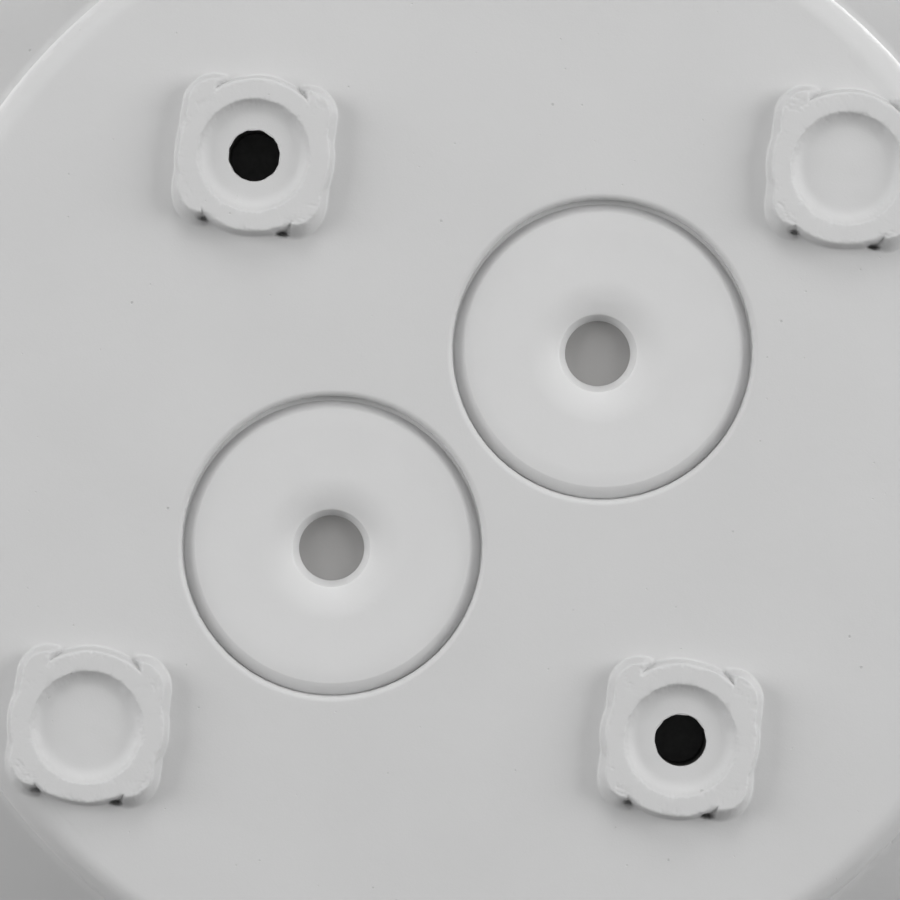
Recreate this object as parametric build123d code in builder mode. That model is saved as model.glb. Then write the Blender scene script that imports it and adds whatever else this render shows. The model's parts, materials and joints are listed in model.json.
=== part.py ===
from build123d import *
import os
from math import atan, cos, pi, radians, sin, sqrt, tan

# Round outdoor wall light: a die-cast housing screwed to the wall, an LED board and driver on a
# gear tray inside it, and an opal diffuser held down on a gasket by a screw-on front ring.
#
# Frame: the wall is the plane y = 0, up is +Z, and the light faces -Y. "Depth" is the distance
# from the wall towards the front. The origin is midway between the two wall-fixing holes.
# All sizes are in millimetres.

# Housing casting
PLATE_RADIUS = 48.2
PLATE_THICKNESS = 3.0
PLATE_EDGE_ROUND = 2.4
SIDE_FLARE = 1.1
SIDE_WALL = 2.6
SIDE_FOOT_ROUND = 1.5
FLOOR_ROUND = 1.5
RIM_START = 22.5
RIM_WIDTH = 4.5
RIM_LEDGE = 3.0
RIM_EDGE_ROUND = 0.6
RIM_REAR_ROUND = 1.2
COLLAR_STEP = 5.3
COLLAR_WALL = 3.4
COLLAR_LENGTH = 9.5
COLLAR_CHAMFER = 0.6

# Standoff bosses on the rear of the plate: two drilled for the wall screws, two left blind
STANDOFF = 2.0
FIXING_SPACING = 60.0
FIXING_ANGLE = 52.2
BLIND_X = 30.8
BLIND_Z = 24.0
BOSS_RADIUS = 6.75
LUG_WIDTH = 12.2
LUG_CORNER = 2.5
LUG_BAND = 3.0
LUG_ANGLE = 7.0
BOSS_DRAFT = 6.0
BOSS_EDGE_ROUND = 0.4
BOSS_RECESS_RADIUS = 4.4
BOSS_RECESS_DEPTH = 1.2
BOSS_RECESS_DRAFT = 24.0
FIXING_HOLE_RADIUS = 2.1
FIXING_POST_RADIUS = 5.5
FIXING_POST_HEIGHT = 4.0
SEAL_POCKET_RADIUS = 3.8
SEAL_POCKET_DEPTH = 2.2
SEAL_BORE_RADIUS = 1.7
SEAL_MEMBRANE = 0.5
SEAL_PROUD = 0.2
BLIND_PAD_HEIGHT = 1.2

# Cable grommets
GROMMET_X = 11.0
GROMMET_Z = 8.5
GROMMET_RECESS_RADIUS = 12.5
GROMMET_RECESS_DEPTH = 1.4
GROMMET_HOLE_RADIUS = 9.6
GROMMET_RIM_GAP = 0.2
GROMMET_LIP_WIDTH = 0.2
GROMMET_LIP_DROP = 0.15
GROMMET_LIP_FOOT = 11.4
GROMMET_FACE_DEPTH = 0.95
FUNNEL_ROUND = 3.5
CABLE_HOLE_RADIUS = 2.7
CABLE_HOLE_LENGTH = 2.4
MEMBRANE_THICKNESS = 0.5
NIPPLE_WALL = 0.8
NIPPLE_ROOT_RADIUS = 5.6
INNER_FLANGE_RADIUS = 11.8
INNER_FLANGE_THICKNESS = 1.6

# Gear tray and its posts
TRAY_EDGE_GAP = 1.2
TRAY_LEDGE_GAP = 0.8
TRAY_THICKNESS = 1.2
TRAY_HEIGHT = 21.0
TRAY_RIM = 3.0
TRAY_POST_INSET = 6.0
TRAY_POST_RADIUS = 4.0
TRAY_POST_ANGLES = (90, 210, 330)
TRAY_SCREW_LENGTH = 9.0
LEAD_SLOT_Z = 2.0
LEAD_SLOT_RADIUS = 4.0

# LED board
BOARD_EDGE_GAP = 0.7
BOARD_THICKNESS = 1.6
CHIP_LENGTH = 3.5
CHIP_WIDTH = 2.8
CHIP_HEIGHT = 0.8
CHIP_EDGE_MARGIN = 4.5
CHIP_RING_SPACING = 17.0
CHIP_COUNTS = (18, 9)
BOARD_SCREW_ANGLES = (60, 180, 300)
CONNECTOR_SIZE = 7.0
CONNECTOR_HEIGHT = 3.4
CONNECTOR_SOCKET = 1.6
CONNECTOR_PITCH = 2.6

# Driver
DRIVER_X = 2.0
DRIVER_POST_GAP = 4.0
DRIVER_LENGTH = 48.0
DRIVER_WIDTH = 21.0
DRIVER_HEIGHT = 13.0
DRIVER_WALL = 1.5
DRIVER_BASE_THICKNESS = 1.8
DRIVER_EAR = 8.0
DRIVER_EAR_WIDTH = 10.0
MAINS_LEAD_SPACING = 6.0
LED_LEAD_SPACING = 4.0
PCB_THICKNESS = 1.6
PCB_STANDOFF = 2.6
PCB_EDGE_GAP = 0.4
TRANSFORMER_SIZE = 13.0
TRANSFORMER_HEIGHT = 6.4
CAPACITOR_RADIUS = 3.6
CAPACITOR_SPACING = 27.0

# Terminal block
TERMINAL_X = 5.0
TERMINAL_WALL_GAP = 8.6
TERMINAL_PITCH = 10.0
TERMINAL_POLES = 3
TERMINAL_WIDTH = 13.0
TERMINAL_HEIGHT = 11.0
TERMINAL_PAD_HEIGHT = 2.0
TERMINAL_FACE_WALL = 1.25
TERMINAL_ENTRY_RADIUS = 2.1
TERMINAL_SCREW_SINK = 4.0
TERMINAL_SCREW_BITE = 3.4
CLAMP_AXIS_HEIGHT = 4.6
CLAMP_RADIUS = 3.1
CLAMP_BORE = 1.9
CLAMP_SCREW_SPACING = 5.4
LEAD_GRIP = 3.0
LEAD_RUN_OUT = 5.0

# Earth point
EARTH_WALL_GAP = 10.2
EARTH_Z = -2.0
EARTH_BOSS_RADIUS = 4.5
EARTH_BOSS_HEIGHT = 5.0
EARTH_WASHER_THICKNESS = 0.6
LUG_RING_RADIUS = 4.0
LUG_THICKNESS = 0.8
LUG_BARREL = 5.0

# Screws, as (shank radius, head radius, head height)
M3_PAN = (1.45, 2.8, 1.8)
M3_GRUB = (1.3, 1.7, 1.2)
M4_PAN = (1.9, 3.6, 2.4)
M25_PAN = (1.15, 2.2, 1.5)

# Insulated leads
LEAD_RADIUS = 0.9
LED_LEAD_RADIUS = 0.7

# Diffuser, gasket and front ring
GASKET_THICKNESS = 1.6
GASKET_EDGE_GAP = 0.25
FLANGE_EDGE_GAP = 0.8
FLANGE_THICKNESS = 2.2
SPIGOT_GAP = 0.4
SPIGOT_LENGTH = 3.5
DIFFUSER_WALL = 2.2
DOME_INSET = 1.2
DOME_HEIGHT = 13.0
DOME_CROWN = 3.0
DOME_SHOULDER = 8.0
GLIDE_THICKNESS = 0.5
RING_WALL = 4.0
RING_THREAD_ROOM = 1.4
RING_LIP_THICKNESS = 2.4
RING_LIP_GAP = 0.8
RING_EDGE_ROUND = 1.8
RING_SEAM = 0.4
RING_BEAD_GAP = 0.3
RING_BEAD_HEIGHT = 0.8
GRIP_COUNT = 30
GRIP_RADIUS = 2.4
GRIP_BITE = 0.55
GRIP_MARGIN = 3.2

# Fits
RUNNING_GAP = 0.35
SCREW_GAP = 0.25
TIGHT_GAP = 0.05

# Depths worked out from the sizes above
plate_rear = STANDOFF
floor = plate_rear + PLATE_THICKNESS
shoulder = RIM_START + RIM_WIDTH
collar_end = shoulder + COLLAR_LENGTH
tray_rear = floor + TRAY_HEIGHT
tray_front = tray_rear + TRAY_THICKNESS
tray_ledge = tray_rear - TRAY_LEDGE_GAP
board_front = tray_front + BOARD_THICKNESS
flange_rear = collar_end + GASKET_THICKNESS
flange_front = flange_rear + FLANGE_THICKNESS
glide_front = flange_front + GLIDE_THICKNESS
ring_front = glide_front + RING_LIP_THICKNESS
dome_front = flange_front + DOME_HEIGHT
post_front = floor + FIXING_POST_HEIGHT
earth_front = floor + EARTH_BOSS_HEIGHT
terminal_rear = floor + TERMINAL_PAD_HEIGHT
terminal_front = terminal_rear + TERMINAL_HEIGHT
clamp_depth = terminal_rear + CLAMP_AXIS_HEIGHT
clamp_screw_seat = clamp_depth + CLAMP_RADIUS + SCREW_GAP
lead_depth = clamp_depth - CLAMP_BORE + LEAD_RADIUS + TIGHT_GAP
lug_axis = earth_front + LUG_THICKNESS / 2 + LEAD_RADIUS
driver_front = tray_rear - DRIVER_BASE_THICKNESS
pcb_front = driver_front - PCB_STANDOFF
pcb_rear = pcb_front - PCB_THICKNESS
mains_depth = pcb_rear - LEAD_RADIUS - 2 * TIGHT_GAP
led_depth = pcb_rear - LED_LEAD_RADIUS - 2 * TIGHT_GAP

# Radii about the light's axis, worked out the same way
floor_radius = PLATE_RADIUS - SIDE_WALL
side_foot = PLATE_RADIUS + SIDE_FLARE
side_bore = side_foot - SIDE_WALL
collar_radius = side_foot + COLLAR_STEP
rim_radius = collar_radius + RIM_LEDGE
collar_bore = collar_radius - COLLAR_WALL
tray_radius = collar_bore - TRAY_EDGE_GAP
tray_post_circle = tray_radius - TRAY_POST_INSET
board_radius = tray_post_circle - M3_PAN[1] - BOARD_EDGE_GAP
outer_chips = board_radius - CHIP_EDGE_MARGIN
inner_chips = outer_chips - CHIP_RING_SPACING
board_screw_circle = (outer_chips + inner_chips) / 2
gasket_outer = collar_radius - COLLAR_CHAMFER - GASKET_EDGE_GAP
gasket_inner = collar_bore + GASKET_EDGE_GAP
spigot_radius = collar_bore - SPIGOT_GAP
dome_radius = collar_bore - DOME_INSET
ring_bore = collar_radius + RING_THREAD_ROOM
ring_radius = ring_bore + RING_WALL
ring_lip = dome_radius + RING_LIP_GAP
ring_bead = collar_radius + RUNNING_GAP
flange_radius = ring_bore - FLANGE_EDGE_GAP

# Lengths and places across the light
terminal_length = TERMINAL_POLES * TERMINAL_PITCH
clamp_length = TERMINAL_WIDTH - 2 * TERMINAL_FACE_WALL - 2 * TIGHT_GAP
terminal_z = TERMINAL_WALL_GAP + TERMINAL_WIDTH / 2 - floor_radius
poles = [TERMINAL_X + (n - (TERMINAL_POLES - 1) / 2) * TERMINAL_PITCH for n in range(TERMINAL_POLES)]
clamp_screws = [(x, terminal_z + side * CLAMP_SCREW_SPACING / 2) for x in poles for side in (-1, 1)]
terminal_fixings = [(TERMINAL_X + side * TERMINAL_PITCH / 2, terminal_z) for side in (-1, 1)]
lead_start = terminal_z - TERMINAL_WIDTH / 2 + TERMINAL_FACE_WALL + LEAD_GRIP
lead_turn = terminal_z - TERMINAL_WIDTH / 2 - LEAD_RUN_OUT
earth_x = side_bore - EARTH_WALL_GAP
lug_reach = EARTH_BOSS_RADIUS + 1.0
driver_z = tray_post_circle - TRAY_POST_RADIUS - DRIVER_POST_GAP - DRIVER_WIDTH / 2
driver_left = DRIVER_X - DRIVER_LENGTH / 2
driver_right = DRIVER_X + DRIVER_LENGTH / 2
driver_screws = [(driver_left - DRIVER_EAR / 2, driver_z), (driver_right + DRIVER_EAR / 2, driver_z)]
pcb_length = DRIVER_LENGTH - 2 * DRIVER_WALL - 2 * PCB_EDGE_GAP
pcb_width = DRIVER_WIDTH - 2 * DRIVER_WALL - 2 * PCB_EDGE_GAP
mains_rows = [driver_z + side * MAINS_LEAD_SPACING / 2 for side in (-1, 1)]
led_rows = [driver_z + side * LED_LEAD_SPACING / 2 for side in (-1, 1)]
driver_holes = [
    (driver_left, mains_rows, LEAD_RADIUS + 2 * TIGHT_GAP, mains_depth),
    (driver_right, led_rows, LED_LEAD_RADIUS + 2 * TIGHT_GAP, led_depth),
]
lead_slot = (board_screw_circle, LEAD_SLOT_Z)
connector_pins = [(board_screw_circle, LEAD_SLOT_Z + side * CONNECTOR_PITCH / 2) for side in (1, -1)]


def on_circle(radius, angle):
    """Point (x, z) on a circle about the light's axis, seen from the rear with +X to the left."""
    return radius * cos(radians(angle)), radius * sin(radians(angle))


def by_wall(angle, inset, depth):
    """Point (x, z, depth) of a lead's route, set in from the casting's side by an inset."""
    return *on_circle(side_bore - inset, angle), depth


fixing_places = [on_circle(FIXING_SPACING / 2, FIXING_ANGLE + turn) for turn in (0, 180)]
blind_places = [(-BLIND_X, BLIND_Z), (BLIND_X, -BLIND_Z)]
boss_places = fixing_places + blind_places
grommet_places = {"upper": (-GROMMET_X, GROMMET_Z), "lower": (GROMMET_X, -GROMMET_Z)}
tray_posts = [on_circle(tray_post_circle, angle) for angle in TRAY_POST_ANGLES]
board_screws = [on_circle(board_screw_circle, angle) for angle in BOARD_SCREW_ANGLES]

# Round posts on the casting's floor, as (places, radius, height)
floor_posts = [
    (fixing_places, FIXING_POST_RADIUS, FIXING_POST_HEIGHT),
    (blind_places, BOSS_RADIUS, BLIND_PAD_HEIGHT),
    ([(earth_x, EARTH_Z)], EARTH_BOSS_RADIUS, EARTH_BOSS_HEIGHT),
    (tray_posts, TRAY_POST_RADIUS, TRAY_HEIGHT),
]

# Round openings in the casting, as (places, radius, starting depth, length): a length below zero
# runs back towards the wall
openings = [
    (fixing_places, FIXING_HOLE_RADIUS, 0, post_front),
    (fixing_places, SEAL_POCKET_RADIUS, post_front, -SEAL_POCKET_DEPTH),
    (grommet_places.values(), GROMMET_RECESS_RADIUS, plate_rear, GROMMET_RECESS_DEPTH),
    (grommet_places.values(), GROMMET_HOLE_RADIUS, plate_rear, PLATE_THICKNESS),
    (tray_posts, M3_PAN[0] + TIGHT_GAP, tray_rear, -TRAY_SCREW_LENGTH),
    ([(earth_x, EARTH_Z)], M4_PAN[0] + TIGHT_GAP, earth_front, -EARTH_BOSS_HEIGHT),
    (terminal_fixings, M25_PAN[0] + TIGHT_GAP, terminal_rear, -TERMINAL_SCREW_BITE),
]


def facing(depth):
    """Plane parallel to the wall at a depth: local x is +X, local y is +Z, extrusion runs forward."""
    return Plane.XZ.offset(depth)


def half_section(x=0.0, z=0.0):
    """Plane through the axis at (x, z), where a profile is drawn as (radius, depth)."""
    return Plane(origin=(x, 0, z), x_dir=(1, 0, 0), z_dir=(0, 0, -1))


def axis_at(x=0.0, z=0.0):
    """Front-to-back axis at (x, z)."""
    return Axis((x, 0, z), (0, 1, 0))


def circles_at(part, radius, depth):
    """The circular edges of a part with this radius at this depth."""
    return part.edges().filter_by(
        lambda e: e.geom_type == GeomType.CIRCLE
        and abs(e.radius - radius) < 0.01
        and abs(e.arc_center.Y + depth) < 0.01
    )


def save(part, name):
    """Label a finished piece and write it as one STEP file."""
    part.label = name
    export_step(part, f"parts/{name}.step")


def pan_screw(size, length):
    """Cross-recessed pan-head screw: its head sits in front of the origin, its shank behind."""
    shank, head, height = size
    rim = height * 0.45
    curve = (head**2 + (height - rim) ** 2) / (2 * (height - rim))
    middle = height - curve + sqrt(curve**2 - head**2 / 4)
    with BuildPart() as screw:
        with BuildSketch(half_section()):
            with BuildLine():
                Polyline((0, height), (0, -length), (shank * 0.6, -length), (shank, shank * 0.4 - length))
                Polyline((shank, shank * 0.4 - length), (shank, 0), (head, 0), (head, rim))
                ThreePointArc((head, rim), (head / 2, middle), (0, height))
            make_face()
        revolve(axis=Axis.Y)
        with BuildSketch(facing(height * 0.4)):
            Rectangle(head * 1.1, head * 0.26)
            Rectangle(head * 0.26, head * 1.1)
        extrude(amount=height, mode=Mode.SUBTRACT)
    return screw.part


def spread(piece, places, depth, turn=0):
    """Copies of a piece at several (x, z) places, all at one depth, turned about the x axis."""
    with BuildPart() as group:
        with Locations(*[Location((x, -depth, z), (turn, 0, 0)) for x, z in places]):
            add(piece)
    return group.part


def bend_radii(points):
    """The largest easy bend at each corner of a route, from the runs on both sides of it."""
    found = []
    for before, corner, after in zip(points, points[1:], points[2:]):
        run_in = Vector(*corner) - Vector(*before)
        run_out = Vector(*after) - Vector(*corner)
        turn = radians(run_in.get_angle(run_out))
        found.append(0.45 * min(run_in.length, run_out.length) / tan(turn / 2))
    return found


def lead(name, route, radius):
    """Insulated lead along a route of (x, z, depth) points, with a bend at each inner point."""
    points = [(x, -depth, z) for x, z, depth in route]
    radii = bend_radii(points)
    with BuildPart() as tube:
        with BuildLine() as path:
            FilletPolyline(*points, radius=radii)
        with BuildSketch(Plane(origin=path.line @ 0, z_dir=path.line % 0)):
            Circle(radius)
        sweep()
    length = sum(edge.length for edge in path.edges())
    share = tube.part.volume / (pi * radius**2 * length)
    print(f"{name}: {length:.1f} mm long, bends {', '.join(f'{bend:.1f}' for bend in radii)} mm,")
    print(f"    its volume is {share:.4f} of its section times its length")
    save(tube.part, name)


def grommet(x, z):
    """Membrane grommet: a dished outer lip, a funnel into the cable hole and a closed inner nipple."""
    lip = GROMMET_RECESS_RADIUS - GROMMET_RIM_GAP
    lip_rear = plate_rear + GROMMET_LIP_DROP
    face = plate_rear + GROMMET_FACE_DEPTH
    seat = plate_rear + GROMMET_RECESS_DEPTH
    neck = GROMMET_HOLE_RADIUS - 2 * TIGHT_GAP
    throat = face + FUNNEL_ROUND
    membrane = throat + CABLE_HOLE_LENGTH
    tip = membrane + MEMBRANE_THICKNESS
    flange_rear_face = floor + TIGHT_GAP
    flange_front_face = flange_rear_face + INNER_FLANGE_THICKNESS
    funnel_edge = CABLE_HOLE_RADIUS + FUNNEL_ROUND
    middle = FUNNEL_ROUND * (1 - sqrt(0.5))
    with BuildPart() as seal:
        with BuildSketch(half_section(x, z)):
            with BuildLine():
                Polyline(
                    (funnel_edge, face),
                    (GROMMET_LIP_FOOT, face),
                    (lip - GROMMET_LIP_WIDTH, lip_rear),
                    (lip, lip_rear),
                    (lip, seat),
                    (neck, seat),
                    (neck, flange_rear_face),
                    (INNER_FLANGE_RADIUS, flange_rear_face),
                    (INNER_FLANGE_RADIUS, flange_front_face),
                    (NIPPLE_ROOT_RADIUS, flange_front_face),
                    (CABLE_HOLE_RADIUS + NIPPLE_WALL, tip),
                    (0, tip),
                    (0, membrane),
                    (CABLE_HOLE_RADIUS, membrane),
                    (CABLE_HOLE_RADIUS, throat),
                )
                ThreePointArc(
                    (CABLE_HOLE_RADIUS, throat),
                    (CABLE_HOLE_RADIUS + middle, face + middle),
                    (funnel_edge, face),
                )
            make_face()
        revolve(axis=axis_at(x, z))
        fillet(circles_at(seal.part, INNER_FLANGE_RADIUS, flange_front_face), radius=0.5)
    return seal.part


def dome_line(inset):
    """Side, shoulder and crown of the dome, moved inwards by a wall: (radius, depth) points."""
    crown = (dome_radius**2 + DOME_CROWN**2) / (2 * DOME_CROWN)
    centre = dome_front - crown
    shoulder_r = dome_radius - DOME_SHOULDER
    shoulder_d = centre + sqrt((crown - DOME_SHOULDER) ** 2 - shoulder_r**2)
    lean = atan(shoulder_r / (shoulder_d - centre))
    small = DOME_SHOULDER - inset
    large = crown - inset
    bend = (pi / 2 + lean) / 2
    return {
        "side": (dome_radius - inset, shoulder_d),
        "shoulder": (shoulder_r + small * sin(bend), shoulder_d + small * cos(bend)),
        "meet": (large * sin(lean), centre + large * cos(lean)),
        "crown": (large * sin(lean / 2), centre + large * cos(lean / 2)),
        "top": (0, centre + large),
    }


os.makedirs("parts", exist_ok=True)

# Core of the casting: the space inside it, less the posts, pads and bosses that stand on its floor
with BuildPart() as core:
    with BuildSketch(half_section()):
        with BuildLine():
            Polyline(
                (0, floor),
                (floor_radius, floor),
                (side_bore, tray_ledge),
                (collar_bore, tray_ledge),
                (collar_bore, collar_end),
                (0, collar_end),
                close=True,
            )
        make_face()
    revolve(axis=Axis.Y)
    fillet(circles_at(core.part, floor_radius, floor), radius=FLOOR_ROUND)
    for places, post_radius, post_height in floor_posts:
        with BuildSketch(facing(floor)):
            with Locations(*places):
                Circle(post_radius)
        extrude(amount=post_height, mode=Mode.SUBTRACT)
    with BuildSketch(facing(floor)):
        with Locations((TERMINAL_X, terminal_z)):
            RectangleRounded(terminal_length - 4, TERMINAL_WIDTH - 3, 1.5)
    extrude(amount=TERMINAL_PAD_HEIGHT, mode=Mode.SUBTRACT)

# Lugs of a standoff boss: the corners of a rounded square, cut off by two diagonal bands
with BuildSketch() as lugs:
    for turn in (45, 135):
        Rectangle(2 * LUG_WIDTH, LUG_BAND, rotation=LUG_ANGLE + turn)
    RectangleRounded(LUG_WIDTH, LUG_WIDTH, LUG_CORNER, rotation=LUG_ANGLE, mode=Mode.INTERSECT)

# Housing: plate, side, rim and threaded collar, revolved as one casting round the core
with BuildPart() as housing:
    with BuildSketch(half_section()):
        with BuildLine():
            Polyline(
                (0, plate_rear),
                (PLATE_RADIUS, plate_rear),
                (side_foot, RIM_START),
                (rim_radius, RIM_START),
                (rim_radius, shoulder),
                (collar_radius, shoulder),
                (collar_radius, collar_end),
                (0, collar_end),
                close=True,
            )
        make_face()
    revolve(axis=Axis.Y)
    fillet(circles_at(housing.part, PLATE_RADIUS, plate_rear), radius=PLATE_EDGE_ROUND)
    fillet(circles_at(housing.part, side_foot, RIM_START), radius=SIDE_FOOT_ROUND)
    fillet(circles_at(housing.part, rim_radius, RIM_START), radius=RIM_REAR_ROUND)
    fillet(circles_at(housing.part, rim_radius, shoulder), radius=RIM_EDGE_ROUND)
    chamfer(circles_at(housing.part, collar_radius, collar_end), length=COLLAR_CHAMFER)
    add(core.part, mode=Mode.SUBTRACT)

    # Standoff bosses: a round boss with four corner lugs, and a shallow recess in its face
    with BuildSketch(facing(0)):
        with Locations(*boss_places):
            Circle(BOSS_RADIUS)
            add(lugs.sketch)
    extrude(amount=STANDOFF, taper=-BOSS_DRAFT)
    boss_faces = housing.faces().filter_by(Axis.Y).sort_by(Axis.Y)[-len(boss_places) :]
    fillet(boss_faces.edges(), radius=BOSS_EDGE_ROUND)
    with BuildSketch(facing(0)):
        with Locations(*boss_places):
            Circle(BOSS_RECESS_RADIUS)
    extrude(amount=BOSS_RECESS_DEPTH, taper=BOSS_RECESS_DRAFT, mode=Mode.SUBTRACT)

    # Openings: wall-screw holes with seal pockets, grommet seats and tapped holes
    for places, hole_radius, hole_start, hole_length in openings:
        with BuildSketch(facing(hole_start)):
            with Locations(*places):
                Circle(hole_radius)
        extrude(amount=hole_length, mode=Mode.SUBTRACT)
save(housing.part, "housing")

# Cable grommets in the plate, and the rubber seals under the wall screws' heads, each closed by a
# membrane until its screw is put in
for side, (x, z) in grommet_places.items():
    save(grommet(x, z), f"cable_grommet_{side}")

with BuildPart() as screw_seal:
    with BuildSketch(half_section()):
        with BuildLine():
            Polyline(
                (0, 0),
                (SEAL_POCKET_RADIUS - TIGHT_GAP, 0),
                (SEAL_POCKET_RADIUS - TIGHT_GAP, SEAL_POCKET_DEPTH),
                (SEAL_POCKET_RADIUS - 4 * TIGHT_GAP, SEAL_POCKET_DEPTH + SEAL_PROUD),
                (SEAL_BORE_RADIUS + 4 * TIGHT_GAP, SEAL_POCKET_DEPTH + SEAL_PROUD),
                (SEAL_BORE_RADIUS, SEAL_POCKET_DEPTH),
                (SEAL_BORE_RADIUS, SEAL_MEMBRANE),
                (0, SEAL_MEMBRANE),
                close=True,
            )
        make_face()
    revolve(axis=Axis.Y)
save(spread(screw_seal.part, fixing_places, post_front - SEAL_POCKET_DEPTH), "screw_seals")

# Gear tray: white sheet-steel dish on the three posts, with its screws
with BuildPart() as gear_tray:
    with BuildSketch(facing(tray_rear)):
        Circle(tray_radius)
    extrude(amount=TRAY_THICKNESS + TRAY_RIM)
    with BuildSketch(facing(tray_front)):
        Circle(tray_radius - TRAY_THICKNESS)
    extrude(amount=TRAY_RIM, mode=Mode.SUBTRACT)
    fillet(circles_at(gear_tray.part, tray_radius, tray_rear), radius=TRAY_THICKNESS * 0.9)
    with BuildSketch(facing(tray_rear)):
        with Locations(*tray_posts):
            Circle(M3_PAN[0] + SCREW_GAP)
        with Locations(*board_screws, *driver_screws):
            Circle(M3_PAN[0] + TIGHT_GAP)
        with Locations(lead_slot):
            Circle(LEAD_SLOT_RADIUS)
    extrude(amount=TRAY_THICKNESS, mode=Mode.SUBTRACT)
save(gear_tray.part, "gear_tray")

tray_screw = pan_screw(M3_PAN, TRAY_THICKNESS + TRAY_SCREW_LENGTH - 1)
save(spread(tray_screw, tray_posts, tray_front), "gear_tray_screws")

# LED board: round board, chips in rings, screws and a connector fed from behind
with BuildPart() as led_board:
    with BuildSketch(facing(tray_front)):
        Circle(board_radius)
        with Locations(*board_screws):
            Circle(M3_PAN[0] + SCREW_GAP, mode=Mode.SUBTRACT)
        with Locations(lead_slot):
            Circle(LEAD_SLOT_RADIUS - 1, mode=Mode.SUBTRACT)
    extrude(amount=BOARD_THICKNESS)
save(led_board.part, "led_board")

with BuildPart() as led_chips:
    for chip_circle, count in zip((outer_chips, inner_chips), CHIP_COUNTS):
        with BuildSketch(facing(board_front)):
            with PolarLocations(chip_circle, count):
                Rectangle(CHIP_WIDTH, CHIP_LENGTH)
        extrude(amount=CHIP_HEIGHT)
save(led_chips.part, "led_chips")

board_screw = pan_screw(M3_PAN, BOARD_THICKNESS + TRAY_THICKNESS - 2 * TIGHT_GAP)
save(spread(board_screw, board_screws, board_front), "led_board_screws")

with BuildPart() as led_connector:
    with BuildSketch(facing(board_front)):
        with Locations(lead_slot):
            RectangleRounded(CONNECTOR_SIZE, CONNECTOR_SIZE, 0.6)
    extrude(amount=CONNECTOR_HEIGHT)
    chamfer(led_connector.edges().filter_by(GeomType.LINE).group_by(Axis.Y)[0], length=0.5)
    with BuildSketch(facing(board_front)):
        with Locations(*connector_pins):
            Circle(LED_LEAD_RADIUS + TIGHT_GAP)
    extrude(amount=CONNECTOR_SOCKET, mode=Mode.SUBTRACT)
save(led_connector.part, "led_connector")

# Driver on the back of the tray: base with ears, cover, circuit board and its main components
with BuildPart() as driver_base:
    with BuildSketch(facing(tray_rear)):
        with Locations((DRIVER_X, driver_z)):
            Rectangle(DRIVER_LENGTH, DRIVER_WIDTH)
            RectangleRounded(DRIVER_LENGTH + 2 * DRIVER_EAR, DRIVER_EAR_WIDTH, 3)
        with Locations(*driver_screws):
            Circle(M3_PAN[0] + SCREW_GAP, mode=Mode.SUBTRACT)
    extrude(amount=-DRIVER_BASE_THICKNESS)
    with BuildSketch(facing(driver_front)):
        with Locations((DRIVER_X, driver_z)):
            with GridLocations(pcb_length - 6, pcb_width - 6, 2, 2):
                Circle(1.6)
    extrude(amount=-PCB_STANDOFF)
save(driver_base.part, "driver_base")

with BuildPart() as driver_cover:
    with BuildSketch(facing(driver_front)):
        with Locations((DRIVER_X, driver_z)):
            RectangleRounded(DRIVER_LENGTH, DRIVER_WIDTH, 1.5)
    extrude(amount=-DRIVER_HEIGHT, taper=1)
    fillet(driver_cover.faces().sort_by(Axis.Y)[-1].edges(), radius=1)
    with BuildSketch(facing(driver_front)):
        with Locations((DRIVER_X, driver_z)):
            Rectangle(DRIVER_LENGTH - 2 * DRIVER_WALL, DRIVER_WIDTH - 2 * DRIVER_WALL)
    extrude(amount=DRIVER_WALL - DRIVER_HEIGHT, mode=Mode.SUBTRACT)
    for end_x, rows, hole_radius, hole_depth in driver_holes:
        with BuildSketch(Plane.YZ.offset(end_x)):
            with Locations(*[(-hole_depth, row) for row in rows]):
                Circle(hole_radius)
        extrude(amount=2 * DRIVER_WALL, both=True, mode=Mode.SUBTRACT)
save(driver_cover.part, "driver_cover")

with BuildPart() as driver_board:
    with BuildSketch(facing(pcb_front)):
        with Locations((DRIVER_X, driver_z)):
            Rectangle(pcb_length, pcb_width)
    extrude(amount=-PCB_THICKNESS)
save(driver_board.part, "driver_board")

with BuildPart() as driver_transformer:
    with BuildSketch(facing(pcb_rear)):
        with Locations((DRIVER_X, driver_z)):
            Rectangle(TRANSFORMER_SIZE, TRANSFORMER_SIZE)
            with GridLocations(TRANSFORMER_SIZE - 3, 0, 2, 1):
                Rectangle(1.4, TRANSFORMER_SIZE - 4, mode=Mode.SUBTRACT)
    extrude(amount=-TRANSFORMER_HEIGHT)
save(driver_transformer.part, "driver_transformer")

with BuildPart() as driver_capacitors:
    with BuildSketch(facing(pcb_rear)):
        with Locations((DRIVER_X, driver_z)):
            with GridLocations(CAPACITOR_SPACING, 0, 2, 1):
                Circle(CAPACITOR_RADIUS)
    extrude(amount=-TRANSFORMER_HEIGHT)
    fillet(driver_capacitors.faces().sort_by(Axis.Y)[-2:].edges(), radius=0.5)
save(driver_capacitors.part, "driver_capacitors")

driver_screw = pan_screw(M3_PAN, DRIVER_BASE_THICKNESS + TRAY_THICKNESS - 2 * TIGHT_GAP)
save(spread(driver_screw, driver_screws, driver_front, turn=180), "driver_screws")

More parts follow.
